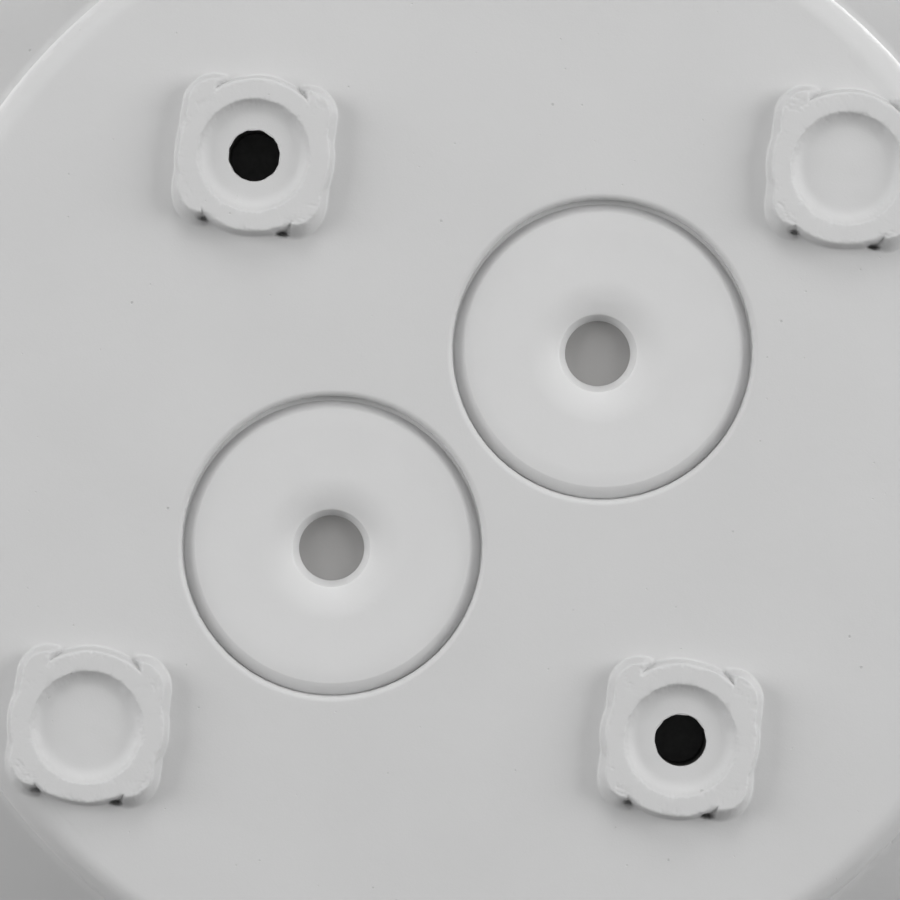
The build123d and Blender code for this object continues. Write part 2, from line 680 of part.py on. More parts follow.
# Terminal block: moulded body, a tubular clamp and two screws for each pole, two fixing screws
with BuildPart() as terminal_body:
    with BuildSketch(facing(terminal_rear)):
        with Locations((TERMINAL_X, terminal_z)):
            Rectangle(terminal_length, TERMINAL_WIDTH)
    extrude(amount=TERMINAL_HEIGHT)
    chamfer(terminal_body.faces().sort_by(Axis.Y)[0].edges().filter_by(Axis.X), length=1.2)
    with BuildSketch(Plane.XY.offset(terminal_z)):
        with Locations(*[(x, -clamp_depth) for x in poles]):
            Circle(CLAMP_RADIUS + 2 * TIGHT_GAP)
    extrude(amount=clamp_length / 2 + TIGHT_GAP, both=True, mode=Mode.SUBTRACT)
    with BuildSketch(Plane.XY.offset(terminal_z)):
        with Locations(*[(x, -clamp_depth) for x in poles]):
            Circle(TERMINAL_ENTRY_RADIUS)
    extrude(amount=TERMINAL_WIDTH, both=True, mode=Mode.SUBTRACT)
    with BuildSketch(facing(clamp_depth)):
        with Locations(*clamp_screws):
            Circle(M3_GRUB[1] + SCREW_GAP)
    extrude(amount=TERMINAL_HEIGHT, mode=Mode.SUBTRACT)
    with BuildSketch(facing(terminal_rear)):
        with Locations(*terminal_fixings):
            Circle(M25_PAN[0] + SCREW_GAP)
    extrude(amount=TERMINAL_HEIGHT, mode=Mode.SUBTRACT)
    with BuildSketch(facing(terminal_front)):
        with Locations(*terminal_fixings):
            Circle(M25_PAN[1] + SCREW_GAP)
    extrude(amount=-TERMINAL_SCREW_SINK, mode=Mode.SUBTRACT)
save(terminal_body.part, "terminal_body")

with BuildPart() as terminal_clamps:
    with BuildSketch(Plane.XY.offset(terminal_z)):
        with Locations(*[(x, -clamp_depth) for x in poles]):
            Circle(CLAMP_RADIUS)
            Circle(CLAMP_BORE, mode=Mode.SUBTRACT)
    extrude(amount=clamp_length / 2, both=True)
    with BuildSketch(facing(clamp_depth)):
        with Locations(*clamp_screws):
            Circle(M3_GRUB[0] + TIGHT_GAP)
    extrude(amount=CLAMP_RADIUS + 1, mode=Mode.SUBTRACT)
save(terminal_clamps.part, "terminal_clamps")

clamp_screw = pan_screw(M3_GRUB, clamp_screw_seat - lead_depth - LEAD_RADIUS - TIGHT_GAP)
save(spread(clamp_screw, clamp_screws, clamp_screw_seat), "terminal_screws")

fixing_screw = pan_screw(M25_PAN, TERMINAL_HEIGHT - TERMINAL_SCREW_SINK + TERMINAL_SCREW_BITE - 0.4)
save(
    spread(fixing_screw, terminal_fixings, terminal_front - TERMINAL_SCREW_SINK),
    "terminal_fixing_screws",
)

# Earth point: ring lug on the cast boss, with a washer and a screw
with BuildPart() as earth_lug:
    with BuildSketch(facing(earth_front)):
        with Locations((earth_x, EARTH_Z)):
            Circle(LUG_RING_RADIUS)
        with Locations((earth_x, EARTH_Z - lug_reach / 2)):
            Rectangle(2 * LEAD_RADIUS, lug_reach)
        with Locations((earth_x, EARTH_Z)):
            Circle(M4_PAN[0] + SCREW_GAP, mode=Mode.SUBTRACT)
    extrude(amount=LUG_THICKNESS)
    with BuildSketch(Plane.XY.offset(EARTH_Z - lug_reach)):
        with Locations((earth_x, -lug_axis)):
            Circle(LEAD_RADIUS + LUG_THICKNESS * 0.75)
    extrude(amount=-LUG_BARREL)
    with BuildSketch(Plane.XY.offset(EARTH_Z - lug_reach - LUG_BARREL)):
        with Locations((earth_x, -lug_axis)):
            Circle(LEAD_RADIUS + TIGHT_GAP)
    extrude(amount=LUG_BARREL - 0.5, mode=Mode.SUBTRACT)
save(earth_lug.part, "earth_lug")

with BuildPart() as earth_washer:
    with BuildSketch(facing(earth_front + LUG_THICKNESS)):
        with Locations((earth_x, EARTH_Z)):
            Circle(LUG_RING_RADIUS)
            with PolarLocations(LUG_RING_RADIUS, 12):
                Circle(0.45, mode=Mode.SUBTRACT)
            Circle(M4_PAN[0] + SCREW_GAP, mode=Mode.SUBTRACT)
    extrude(amount=EARTH_WASHER_THICKNESS)
save(earth_washer.part, "earth_washer")

earth_screw = pan_screw(M4_PAN, EARTH_WASHER_THICKNESS + LUG_THICKNESS + EARTH_BOSS_HEIGHT - 0.5)
earth_seat = earth_front + LUG_THICKNESS + EARTH_WASHER_THICKNESS
save(spread(earth_screw, [(earth_x, EARTH_Z)], earth_seat), "earth_screw")

# Internal leads, along their real routes: (x, z, depth)
lead(
    "lead_live",
    [
        (poles[0], lead_start, lead_depth),
        (poles[0], lead_turn, lead_depth),
        by_wall(248, 3.6, 15.5),
        by_wall(225, 6.4, 18.0),
        by_wall(197, 10.0, 18.0),
        by_wall(167, 9.8, 18.5),
        (driver_left - 10.0, mains_rows[0], mains_depth),
        (driver_left + LEAD_GRIP, mains_rows[0], mains_depth),
    ],
    LEAD_RADIUS,
)
lead(
    "lead_neutral",
    [
        (poles[1], lead_start, lead_depth),
        (poles[1], lead_turn, lead_depth),
        by_wall(262, 2.8, 18.5),
        by_wall(243, 3.5, 21.5),
        by_wall(223, 7.1, 21.8),
        by_wall(194, 8.6, 21.8),
        by_wall(164, 6.2, 21.5),
        (driver_left - 11.5, mains_rows[1], mains_depth),
        (driver_left + LEAD_GRIP, mains_rows[1], mains_depth),
    ],
    LEAD_RADIUS,
)
lead(
    "lead_earth",
    [
        (poles[2], lead_start, lead_depth),
        (poles[2], lead_turn + 0.5, lead_depth),
        by_wall(304, 2.5, 15.0),
        by_wall(320, 5.9, 15.5),
        by_wall(331, 8.9, 13.0),
        (earth_x, EARTH_Z - lug_reach - LUG_BARREL - 2.0, lug_axis),
        (earth_x, EARTH_Z - lug_reach - 1, lug_axis),
    ],
    LEAD_RADIUS,
)
lead(
    "lead_led_positive",
    [
        (driver_right - LEAD_GRIP, led_rows[1], led_depth),
        (driver_right + 7.0, led_rows[1], led_depth),
        by_wall(19, 7.5, 15.0),
        (*connector_pins[1], 16.5),
        (*connector_pins[1], board_front + CONNECTOR_SOCKET - TIGHT_GAP),
    ],
    LED_LEAD_RADIUS,
)
lead(
    "lead_led_negative",
    [
        (driver_right - LEAD_GRIP, led_rows[0], led_depth),
        (driver_right + 5.5, led_rows[0], led_depth),
        by_wall(20, 11.6, 17.5),
        (*connector_pins[0], 19.0),
        (*connector_pins[0], board_front + CONNECTOR_SOCKET - TIGHT_GAP),
    ],
    LED_LEAD_RADIUS,
)

# Gasket on the end of the collar
with BuildPart() as housing_gasket:
    with BuildSketch(half_section()):
        with BuildLine():
            Polyline(
                (gasket_inner, collar_end),
                (gasket_outer, collar_end),
                (gasket_outer, collar_end + GASKET_THICKNESS * 0.6),
                (gasket_outer - 0.5, flange_rear),
                (gasket_inner + 0.5, flange_rear),
                (gasket_inner, collar_end + GASKET_THICKNESS * 0.6),
                close=True,
            )
        make_face()
    revolve(axis=Axis.Y)
save(housing_gasket.part, "housing_gasket")

# Diffuser: opal dome with a seating flange and a spigot that centres it in the collar
with BuildPart() as diffuser:
    outer = dome_line(0)
    inner = dome_line(DIFFUSER_WALL)
    with BuildSketch(half_section()):
        with BuildLine():
            Polyline(
                inner["side"],
                (dome_radius - DIFFUSER_WALL, flange_rear - SPIGOT_LENGTH),
                (spigot_radius, flange_rear - SPIGOT_LENGTH),
                (spigot_radius, flange_rear),
                (flange_radius, flange_rear),
                (flange_radius, flange_front),
                (dome_radius, flange_front),
                outer["side"],
            )
            ThreePointArc(outer["side"], outer["shoulder"], outer["meet"])
            ThreePointArc(outer["meet"], outer["crown"], outer["top"])
            Line(outer["top"], inner["top"])
            ThreePointArc(inner["top"], inner["crown"], inner["meet"])
            ThreePointArc(inner["meet"], inner["shoulder"], inner["side"])
        make_face()
    revolve(axis=Axis.Y)
save(diffuser.part, "diffuser")

with BuildPart() as glide_washer:
    with BuildSketch(facing(flange_front)):
        Circle(flange_radius - RUNNING_GAP)
        Circle(ring_lip + RUNNING_GAP, mode=Mode.SUBTRACT)
    extrude(amount=GLIDE_THICKNESS)
save(glide_washer.part, "glide_washer")

# Front ring: its lip bears on the washer, and its bead is narrower than the diffuser's flange
with BuildPart() as front_ring:
    bead_front = flange_rear - RING_BEAD_GAP
    bead_rear = bead_front - RING_BEAD_HEIGHT
    with BuildSketch(half_section()):
        with BuildLine():
            Polyline(
                (ring_bore, shoulder + RING_SEAM),
                (ring_radius, shoulder + RING_SEAM),
                (ring_radius, ring_front),
                (ring_lip + RING_LIP_THICKNESS / 2, ring_front),
                (ring_lip, ring_front - RING_LIP_THICKNESS / 2),
                (ring_lip, glide_front),
                (ring_bore, glide_front),
                (ring_bore, bead_front),
                (ring_bead, bead_front),
                (ring_bead, bead_rear),
                (ring_bore, bead_rear),
                close=True,
            )
        make_face()
    revolve(axis=Axis.Y)
    fillet(circles_at(front_ring.part, ring_radius, ring_front), radius=RING_EDGE_ROUND)
    fillet(circles_at(front_ring.part, ring_radius, shoulder + RING_SEAM), radius=0.5)
    with BuildSketch(facing(shoulder + GRIP_MARGIN)):
        with PolarLocations(ring_radius + GRIP_RADIUS - GRIP_BITE, GRIP_COUNT):
            Circle(GRIP_RADIUS)
    extrude(amount=ring_front - shoulder - 2 * GRIP_MARGIN, mode=Mode.SUBTRACT)
save(front_ring.part, "front_ring")
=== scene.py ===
import json
from math import cos, hypot, pi, radians, sin, sqrt

import bmesh
import bpy
import numpy as np
from mathutils import Matrix, Vector
from mathutils.geometry import delaunay_2d_cdt


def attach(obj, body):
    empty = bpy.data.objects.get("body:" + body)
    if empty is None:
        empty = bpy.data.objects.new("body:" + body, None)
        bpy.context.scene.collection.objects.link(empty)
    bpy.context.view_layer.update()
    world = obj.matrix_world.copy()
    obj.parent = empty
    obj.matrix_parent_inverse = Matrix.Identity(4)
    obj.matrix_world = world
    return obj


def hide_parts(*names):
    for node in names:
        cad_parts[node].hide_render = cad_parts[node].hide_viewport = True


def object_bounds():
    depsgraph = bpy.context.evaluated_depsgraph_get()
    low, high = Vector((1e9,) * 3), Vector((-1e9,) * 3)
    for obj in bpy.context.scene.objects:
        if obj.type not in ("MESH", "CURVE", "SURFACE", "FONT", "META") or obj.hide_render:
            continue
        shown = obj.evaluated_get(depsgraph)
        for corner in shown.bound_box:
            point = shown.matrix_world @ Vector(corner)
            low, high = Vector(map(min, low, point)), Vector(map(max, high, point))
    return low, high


# Round outdoor wall light, seen from its wall side. The wall is the plane y = 0, up is +Z and the
# light faces -Y. Sizes are in millimetres, and MM turns them into the frame's metres. "Depth" is
# the distance from the wall, and "height" the distance from the plate's rear face towards the wall.

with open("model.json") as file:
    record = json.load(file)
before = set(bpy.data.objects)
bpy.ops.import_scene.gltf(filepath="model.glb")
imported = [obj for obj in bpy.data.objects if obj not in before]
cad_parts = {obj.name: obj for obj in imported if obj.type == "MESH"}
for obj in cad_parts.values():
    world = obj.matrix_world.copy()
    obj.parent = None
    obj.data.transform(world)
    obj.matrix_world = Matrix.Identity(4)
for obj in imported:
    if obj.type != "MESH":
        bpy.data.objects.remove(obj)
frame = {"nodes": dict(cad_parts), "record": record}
nodes = frame["nodes"]
cad_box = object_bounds()
MM = 0.001

# Picture: where the light's axis meets the plate, and how large and how far turned it shows
PICTURE_SIZE = 900
AXIS_IN_PICTURE = (467.25, 447.85)
PIXELS_PER_MM = 12.03
TURN_IN_PICTURE = 1.7
CAMERA_DISTANCE = 500.0
SENSOR_WIDTH = 36.0

# Housing casting, whose rear skin is made anew down to SKIN_DEPTH. Paint makes a drilled hole's
# mouth MOUTH_GROWTH wider, and ragged by MOUTH_RAGGEDNESS.
PLATE_DEPTH = 2.0
PLATE_WAVE = 0.012
EDGE_ROUND = 2.4
SKIN_DEPTH = 3.2
FIXING_SPACING = 60.0
FIXING_ANGLE = 52.2
BLIND_PLACE = (30.8, 24.07)
GROMMET_PLACE = (11.0, 8.5)
GROMMET_RECESS = 12.5
GROMMET_RIM_ROUND = 0.5
FIXING_HOLE = 2.1
MOUTH_GROWTH = 0.07
MOUTH_RAGGEDNESS = 0.02

# Standoff bosses: a round boss, and behind it a squarer one that shows as four corner lugs. The
# side is (edge round, draft in degrees, foot round). The cast outline strays in waves of up to
# BOSS_STRAY, and a boss ends within BOSS_NEAR of its middle. A lug reaches LUG_REACH from the
# middle, falls away over LUG_RUN, and rises sideways over (start, length). Lower ones differ.
BOSS_HEIGHT = 2.0
BOSS_TURN = 5.6
BOSS_RADIUS = 6.4
BOSS_SIDE = (0.3, 8, 0.15)
BOSS_STRAY = 0.06
BOSS_NEAR = 11.0
LUG_REACH = 5.85
LUG_RUN = 0.65
LUG_START = (2.8, 1.3)
LUG_LOW_REACH = 5.15
LUG_LOW_RUN = 1.3
LUG_LOW_START = (3.15, 0.7)
LUG_CORNER = 2.0
BOSS_RECESS = 4.85
RECESS_ROUND = 1.4
RECESS_RIM_ROUND = 0.3
RECESS_TILT = 62

# Paint on the bosses: how far its wobble, lumps and grit swing at the outer edge, and their share
# on the top. It gathers from EDGE_BAND's first distance inside the outline, over the second. At
# the recess it gathers about RIM_BAND's first distance inside the rim, over the second.
EDGE_PAINT = (0.022, 0.018, 0.016)
TOP_SHARE = 0.3
EDGE_BAND = (0.6, 0.5)
RIM_PAINT = (0.0, 0.022, 0.016)
RIM_BAND = (0.3, 0.4)
BOWL_WOBBLE = 0.012

# Crevices beside a boss's lowest stretch, as (along, up) from its middle and (length, width)
NOTCH_DEPTH = 1.6
NOTCHES = (((3.70, -5.65), (0.32, 0.20)), ((-3.05, -6.0), (0.50, 0.17)))

# Where the rear skin's points lie: radii on a boss, distances outside a fixing hole or a grommet
# recess, the points in a ring, and how clear points keep of those, of the plate's edge and of a
# boss's middle
BOSS_RINGS = np.array([5.2, 5.5, 5.75, *np.arange(5.9, 8.5, 0.09), *np.arange(8.6, 9.6, 0.2)])
BLIND_RINGS = np.arange(0.4, 3.3, 0.45)
HOLE_RINGS = np.array([0.05, 0.12, 0.22, 0.36, 0.6, 0.9])
RIM_RINGS = np.array([0.02, 0.06, 0.12, 0.20, 0.30, 0.42, GROMMET_RIM_ROUND, 0.8, 1.3])
BOSS_STEPS = 360
BLIND_STEPS = 60
HOLE_STEPS = 180
RIM_STEPS = 300
EDGE_STEPS = 300
EDGE_CLEARANCE = 0.12
HOLE_CLEARANCE = 0.03
RECESS_CLEARANCE = 0.01
GRID_STEP = 1.5
GRID_EDGE_CLEARANCE = 1.2
GRID_BOSS_CLEARANCE = 10.2
GRID_RECESS_CLEARANCE = 1.8

# Cable grommets, as radii and depths from the lip over the face, the funnel and the throat to the
# membrane, then the parts inside the housing. The face slants, with its upper rim deeper by
# LIP_SLANT than its lower rim. The hole sits off centre by (x, z).
LIP_RADIUS = 12.39
LIP_DEPTH = 3.2
LIP_SLANT = 0.4
CREASE_RADIUS = 11.43
FACE_DEPTH = 2.55
FUNNEL_RADIUS = 6.2
FUNNEL_DEPTH = 2.8
FUNNEL_CURVE = 1.9
THROAT_RADIUS = 3.25
THROAT_DEPTH = 3.6
THROAT_ROUND = 0.14
GROMMET_CORNER = 0.06
MEMBRANE_RADIUS = 2.78
MEMBRANE_DEPTH = 5.0
MEMBRANE_THICKNESS = 0.5
SEAT_DEPTH = 3.65
NECK_RADIUS = 9.5
INNER_FLANGE = 11.8
INNER_FLANGE_DEPTHS = (5.05, 6.65)
INNER_FLANGE_ROUND = 0.5
NIPPLE_ROOT = 5.6
NIPPLE_TIP = (3.7, 7.6)
HOLE_OFFSETS = {"upper": (0.33, -0.30), "lower": (0.08, -0.20)}
GROMMET_STEPS = 256

# Thread between the collar and the ring. Its section is given as (share of its width, share of
# its height), and its foot lies THREAD_ROOT inside the wall.
THREAD_PITCH = 3.0
COLLAR_RADIUS = 54.6
THREAD_HEIGHT = 1.05
RING_BORE = 56.0
THREAD_DEPTHS = (29.2, 35.4)
THREAD_SECTION = ((-0.5, 0.0), (-0.2, 1.0), (0.2, 1.0), (0.5, 0.0))
THREAD_ROOT = 0.12
THREAD_STEPS = 220

# Studio: lamps as (place in metres, size in metres, watts), then the surround's strength level
# with the object and overhead, and its tone and the floor's tones as thrown or as seen
LAMPS = {
    "key": ((-0.75, 0.40, 0.12), 0.55, 5.3),
    "side": ((0.75, 0.40, 0.12), 0.55, 4.6),
    "top": ((0.0, 0.45, 0.75), 0.40, 2.0),
    "front_key": ((-0.55, -0.75, 0.55), 0.5, 4.5),
    "front_fill": ((0.70, -0.60, 0.30), 0.5, 2.2),
}
SKY_LEVEL = 0.58
SKY_ZENITH = 0.28
SKY_SEEN = 0.86
FLOOR_THROWN = 130
FLOOR_SEEN = 228


def mix(a, b, t):
    return a + (b - a) * t


def smooth(share):
    """0 below 0, 1 above 1, and an even curve between them."""
    share = np.clip(share, 0, 1)
    return share * share * (3 - 2 * share)


def linear(level):
    """A display level from 0 to 255 as the linear value that a shader takes."""
    share = level / 255
    return share / 12.92 if share <= 0.04045 else ((share + 0.055) / 1.055) ** 2.4


def grey(level, warmth=0.0):
    """Linear colour of a display level, a little warmer or cooler."""
    return (linear(level + warmth), linear(level), linear(level - warmth), 1.0)


def add_node(tree, kind, inputs=None, **settings):
    """A shader node whose inputs are linked to sockets or set to values."""
    made = tree.nodes.new(kind)
    for name, value in settings.items():
        setattr(made, name, value)
    for name, value in (inputs or {}).items():
        if isinstance(value, bpy.types.NodeSocket):
            tree.links.new(value, made.inputs[name])
        else:
            made.inputs[name].default_value = value
    return made


def add_ramp(tree, value, low, high, to_low, to_high, **settings):
    """A value mapped from one range to another."""
    inputs = {"Value": value, "From Min": low, "From Max": high}
    inputs.update({"To Min": to_low, "To Max": to_high})
    return add_node(tree, "ShaderNodeMapRange", inputs, **settings).outputs["Result"]


# Materials


class Shader:
    """A Principled material and the few nodes that this script builds from."""

    def __init__(self, name):
        self.material = bpy.data.materials.new(name)
        self.material.use_nodes = True
        self.tree = self.material.node_tree
        self.surface = self.tree.nodes["Principled BSDF"]
        self.place = self.tree.nodes.new("ShaderNodeTexCoord").outputs["Object"]

    def set(self, **values):
        for name, value in values.items():
            title = name.replace("_", " ").title().replace("Ior", "IOR")
            self.surface.inputs[title].default_value = value

    def link(self, source, name):
        self.tree.links.new(source, self.surface.inputs[name])

    def node(self, kind, inputs=None, **settings):
        return add_node(self.tree, kind, inputs, **settings)

    def noise(self, size, detail=2.0, place=None):
        """Noise from 0 to 1 whose features are about this many millimetres wide."""
        inputs = {"Vector": place or self.place, "Scale": 1 / (size * MM), "Detail": detail}
        return self.node("ShaderNodeTexNoise", inputs).outputs["Fac"]

    def spread(self, noise, to_low, to_high):
        """The middle range of a noise, where nearly all of it lies, spread over other values."""
        return self.remap(noise, 0.3, 0.7, to_low, to_high)

    def remap(self, value, low, high, to_low, to_high):
        return add_ramp(self.tree, value, low, high, to_low, to_high)

    def blend(self, factor, first, second):
        """Colour mix: the first where the factor is 0, the second where it is 1."""
        values = {0: factor, 6: first, 7: second}
        return self.node("ShaderNodeMix", values, data_type="RGBA").outputs[2]

    def bump(self, value, depth, under=None):
        """Bump whose full swing is this many millimetres, over an earlier bump if one is given."""
        inputs = {"Height": value, "Distance": depth * MM, "Strength": 1.0}
        if under is not None:
            inputs["Normal"] = under
        return self.node("ShaderNodeBump", inputs).outputs["Normal"]

    def facing(self, axis, low, high, to_low, to_high):
        """A ramp over how far the surface faces along an axis."""
        normal = self.node("ShaderNodeNewGeometry").outputs["Normal"]
        split = self.node("ShaderNodeSeparateXYZ", {"Vector": normal})
        return self.remap(split.outputs[axis], low, high, to_low, to_high)


def powder_coat(name, level):
    """Light grey powder coat: orange peel, fine grain, a few pits with painted shade in them, and a
    faint cloudiness.
    """
    s = Shader(name)
    cloud = s.noise(14.0, detail=3.0)
    grain = s.noise(0.16)
    peel = s.noise(1.1, detail=1.0)
    pits = s.noise(0.5, detail=0.0)
    tone = s.blend(s.spread(cloud, 0.0, 1.0), grey(level - 1.5), grey(level + 1.5))
    # The pits are darkened in colour where the bump dents them: painted shade in the pits
    pit_shade = s.remap(pits, 0.87, 0.90, 0.0, 0.35)
    s.link(s.blend(pit_shade, tone, grey(level * 0.72)), "Base Color")
    s.link(s.spread(grain, 0.50, 0.62), "Roughness")
    first = s.bump(peel, 0.014)
    second = s.bump(grain, 0.008, under=first)
    s.link(s.bump(s.remap(pits, 0.83, 0.89, 1.0, 0.0), 0.03, under=second), "Normal")
    return s.material


def silicone(name, level, warmth=0.0, depth=1.6, share=0.45):
    """Translucent silicone rubber: soft light inside it, satin skin and faint moulding marks."""
    s = Shader(name)
    cloud = s.noise(5.0)
    skin = s.noise(0.35)
    s.link(s.blend(cloud, grey(level - 2, warmth), grey(level + 2, warmth)), "Base Color")
    s.set(subsurface_weight=share, subsurface_scale=depth * MM, ior=1.41)
    s.surface.inputs["Subsurface Radius"].default_value = (1.0, 1.0, 0.97)
    s.link(s.spread(skin, 0.42, 0.54), "Roughness")
    s.link(s.bump(skin, 0.006), "Normal")
    return s.material


def opal(name):
    """Satin opal polycarbonate."""
    s = Shader(name)
    cloud = s.noise(20.0)
    skin = s.noise(0.22)
    s.link(s.blend(cloud, grey(236, 1), grey(240, 1)), "Base Color")
    s.set(subsurface_weight=0.6, subsurface_scale=4.0 * MM, ior=1.58)
    s.surface.inputs["Subsurface Radius"].default_value = (1.0, 0.97, 0.92)
    s.link(s.spread(skin, 0.30, 0.38), "Roughness")
    s.link(s.bump(skin, 0.003), "Normal")
    return s.material


def enamel(name, level):
    """Gloss stove enamel on pressed sheet."""
    s = Shader(name)
    wave = s.noise(2.5, detail=1.0)
    grain = s.noise(0.3, detail=1.0)
    s.link(s.blend(wave, grey(level - 2), grey(level + 2)), "Base Color")
    s.link(s.spread(grain, 0.22, 0.30), "Roughness")
    s.link(s.bump(wave, 0.02), "Normal")
    return s.material


def plated_metal(name, colour, roughness):
    """Plated metal: bright, with fine brush marks and darker dull patches."""
    s = Shader(name)
    patch = s.noise(1.8, detail=3.0)
    stretched = s.node("ShaderNodeMapping", {"Vector": s.place, "Scale": (1.0, 0.15, 1.0)})
    brush = s.noise(0.25, place=stretched.outputs["Vector"])
    dark = tuple(c * 0.78 for c in colour[:3]) + (1.0,)
    s.link(s.blend(s.remap(patch, 0.35, 0.7, 0.0, 1.0), colour, dark), "Base Color")
    s.set(metallic=1.0)
    s.link(s.spread(patch, roughness, roughness + 0.14), "Roughness")
    s.link(s.bump(brush, 0.006), "Normal")
    return s.material


def moulded_plastic(name, colour, roughness, spark=0.22):
    """Moulded plastic with a fine spark-eroded texture."""
    s = Shader(name)
    cloud = s.noise(6.0)
    texture = s.noise(spark, detail=1.0)
    pale = tuple(min(1.0, c * 1.04) for c in colour[:3]) + (1.0,)
    s.link(s.blend(cloud, colour, pale), "Base Color")
    s.link(s.spread(texture, roughness - 0.05, roughness + 0.07), "Roughness")
    s.set(subsurface_weight=0.08, subsurface_scale=0.6 * MM)
    s.link(s.bump(texture, 0.006), "Normal")
    return s.material


def rubber(name, colour, roughness=0.6):
    """Matte rubber with a slight bloom."""
    s = Shader(name)
    bloom = s.noise(2.2, detail=3.0)
    texture = s.noise(0.3)
    dusty = tuple(c * 0.8 + 0.02 for c in colour[:3]) + (1.0,)
    s.link(s.blend(bloom, colour, dusty), "Base Color")
    s.link(s.spread(texture, roughness - 0.05, roughness + 0.08), "Roughness")
    s.link(s.bump(texture, 0.008), "Normal")
    return s.material


def solder_mask(name, mask, trace, track_size, amount):
    """Solder mask over copper: tracks show as a faint relief and a change of tone."""
    s = Shader(name)
    inputs = {"Vector": s.place, "Scale": 1 / (track_size * MM)}
    cells = s.node("ShaderNodeTexVoronoi", inputs, feature="DISTANCE_TO_EDGE")
    tracks = s.remap(cells.outputs["Distance"], 0.04, 0.10, amount, 0.0)
    s.link(s.blend(tracks, mask, trace), "Base Color")
    s.set(roughness=0.28, coat_weight=0.2)
    s.link(s.bump(tracks, 0.03), "Normal")
    return s.material


def striped_insulation(name, first, second):
    """Two-colour wire insulation: one broad stripe along one side of the lead."""
    s = Shader(name)
    stripe = s.facing("Y", 0.15, 0.22, 0.0, 1.0)
    texture = s.noise(0.4)
    s.link(s.blend(stripe, first, second), "Base Color")
    s.link(s.spread(texture, 0.36, 0.46), "Roughness")
    s.link(s.bump(texture, 0.004), "Normal")
    return s.material


def phosphor(name):
    """White chip package whose front face is yellow phosphor."""
    s = Shader(name)
    facing = s.facing("Y", -0.9, -0.7, 1.0, 0.0)
    grain = s.noise(0.12)
    yellow = s.blend(grain, (0.80, 0.55, 0.07, 1.0), (0.86, 0.64, 0.12, 1.0))
    s.link(s.blend(facing, grey(232), yellow), "Base Color")
    s.set(roughness=0.35, subsurface_weight=0.2, subsurface_scale=0.3 * MM)
    s.link(s.bump(grain, 0.004), "Normal")
    return s.material


def bore_shade_material(name):
    """Near-black colour for the wall of a drilled bore: painted shade of the deep hole, faintly
    mottled.
    """
    s = Shader(name)
    shade_mottle = s.noise(0.6)
    s.link(s.blend(shade_mottle, (0.010, 0.010, 0.009, 1.0), (0.018, 0.017, 0.015, 1.0)), "Base Color")
    s.link(s.spread(shade_mottle, 0.6, 0.8), "Roughness")
    s.link(s.bump(shade_mottle, 0.01), "Normal")
    return s.material


# Painted shade: the bores' walls are coloured near-black to stand for the dark inside the deep holes
bore_painted_shade = bore_shade_material("bore_painted_shade")
# The membrane is the grommet's own silicone made darker: painted shade of the deep hole it lies in
membrane_painted_shade = silicone("membrane_painted_shade", 150, warmth=1.0, depth=1.2, share=0.3)
board_green = (0.01, 0.09, 0.03, 1.0)
track_green = (0.03, 0.20, 0.06, 1.0)
slots = {
    "housing_paint": powder_coat("housing_paint", 196),
    "white_silicone": silicone("white_silicone", 206),
    "black_rubber": rubber("black_rubber", (0.012, 0.012, 0.012, 1.0)),
    "grey_silicone": silicone("grey_silicone", 128, depth=0.8, share=0.15),
    "white_steel": enamel("white_steel", 222),
    "zinc_steel": plated_metal("zinc_steel", (0.62, 0.63, 0.65, 1.0), 0.30),
    "board_white": solder_mask("board_white", grey(228), grey(206), 3.2, 0.8),
    "phosphor": phosphor("phosphor"),
    "natural_nylon": moulded_plastic("natural_nylon", (0.68, 0.66, 0.58, 1.0), 0.48),
    "driver_plastic": moulded_plastic("driver_plastic", (0.62, 0.62, 0.60, 1.0), 0.50, spark=0.3),
    "circuit_board": solder_mask("circuit_board", board_green, track_green, 1.6, 1.0),
    "ferrite": rubber("ferrite", (0.016, 0.016, 0.018, 1.0), 0.55),
    "capacitor_can": moulded_plastic("capacitor_can", (0.018, 0.018, 0.024, 1.0), 0.30),
    "plated_brass": plated_metal("plated_brass", (0.72, 0.62, 0.42, 1.0), 0.26),
    "tinned_copper": plated_metal("tinned_copper", (0.70, 0.67, 0.63, 1.0), 0.34),
    "brown_insulation": moulded_plastic("brown_insulation", (0.085, 0.032, 0.012, 1.0), 0.40),
    "blue_insulation": moulded_plastic("blue_insulation", (0.012, 0.06, 0.33, 1.0), 0.40),
    "green_yellow_insulation": striped_insulation(
        "green_yellow_insulation", (0.03, 0.26, 0.03, 1.0), (0.72, 0.62, 0.02, 1.0)
    ),
    "red_insulation": moulded_plastic("red_insulation", (0.42, 0.012, 0.010, 1.0), 0.40),
    "black_insulation": moulded_plastic("black_insulation", (0.010, 0.010, 0.010, 1.0), 0.40),
    "opal": opal("opal"),
}


def dress_frame():
    """Gives each node of the frame the material of its slot in the record."""
    for part in frame["record"]["subparts"]:
        node = nodes[part["node"]]
        node.data.materials.clear()
        node.data.materials.append(slots[part["material_slot"]])


# Shapes


class Ripple:
    """Smooth irregularity in the plane: a sum of waves in seeded directions, about -1 to 1."""

    def __init__(self, seed, size, waves=14):
        random = np.random.default_rng(seed)
        turn = random.uniform(0, 2 * pi, waves)
        count = 2 * pi / (size * random.uniform(0.7, 1.5, waves))
        self.along = np.stack([np.cos(turn) * count, np.sin(turn) * count])
        self.phase = random.uniform(0, 2 * pi, waves)

    def __call__(self, x, z):
        arguments = x[:, None] * self.along[0] + z[:, None] * self.along[1] + self.phase
        return np.sin(arguments).sum(axis=1) / sqrt(len(self.phase))


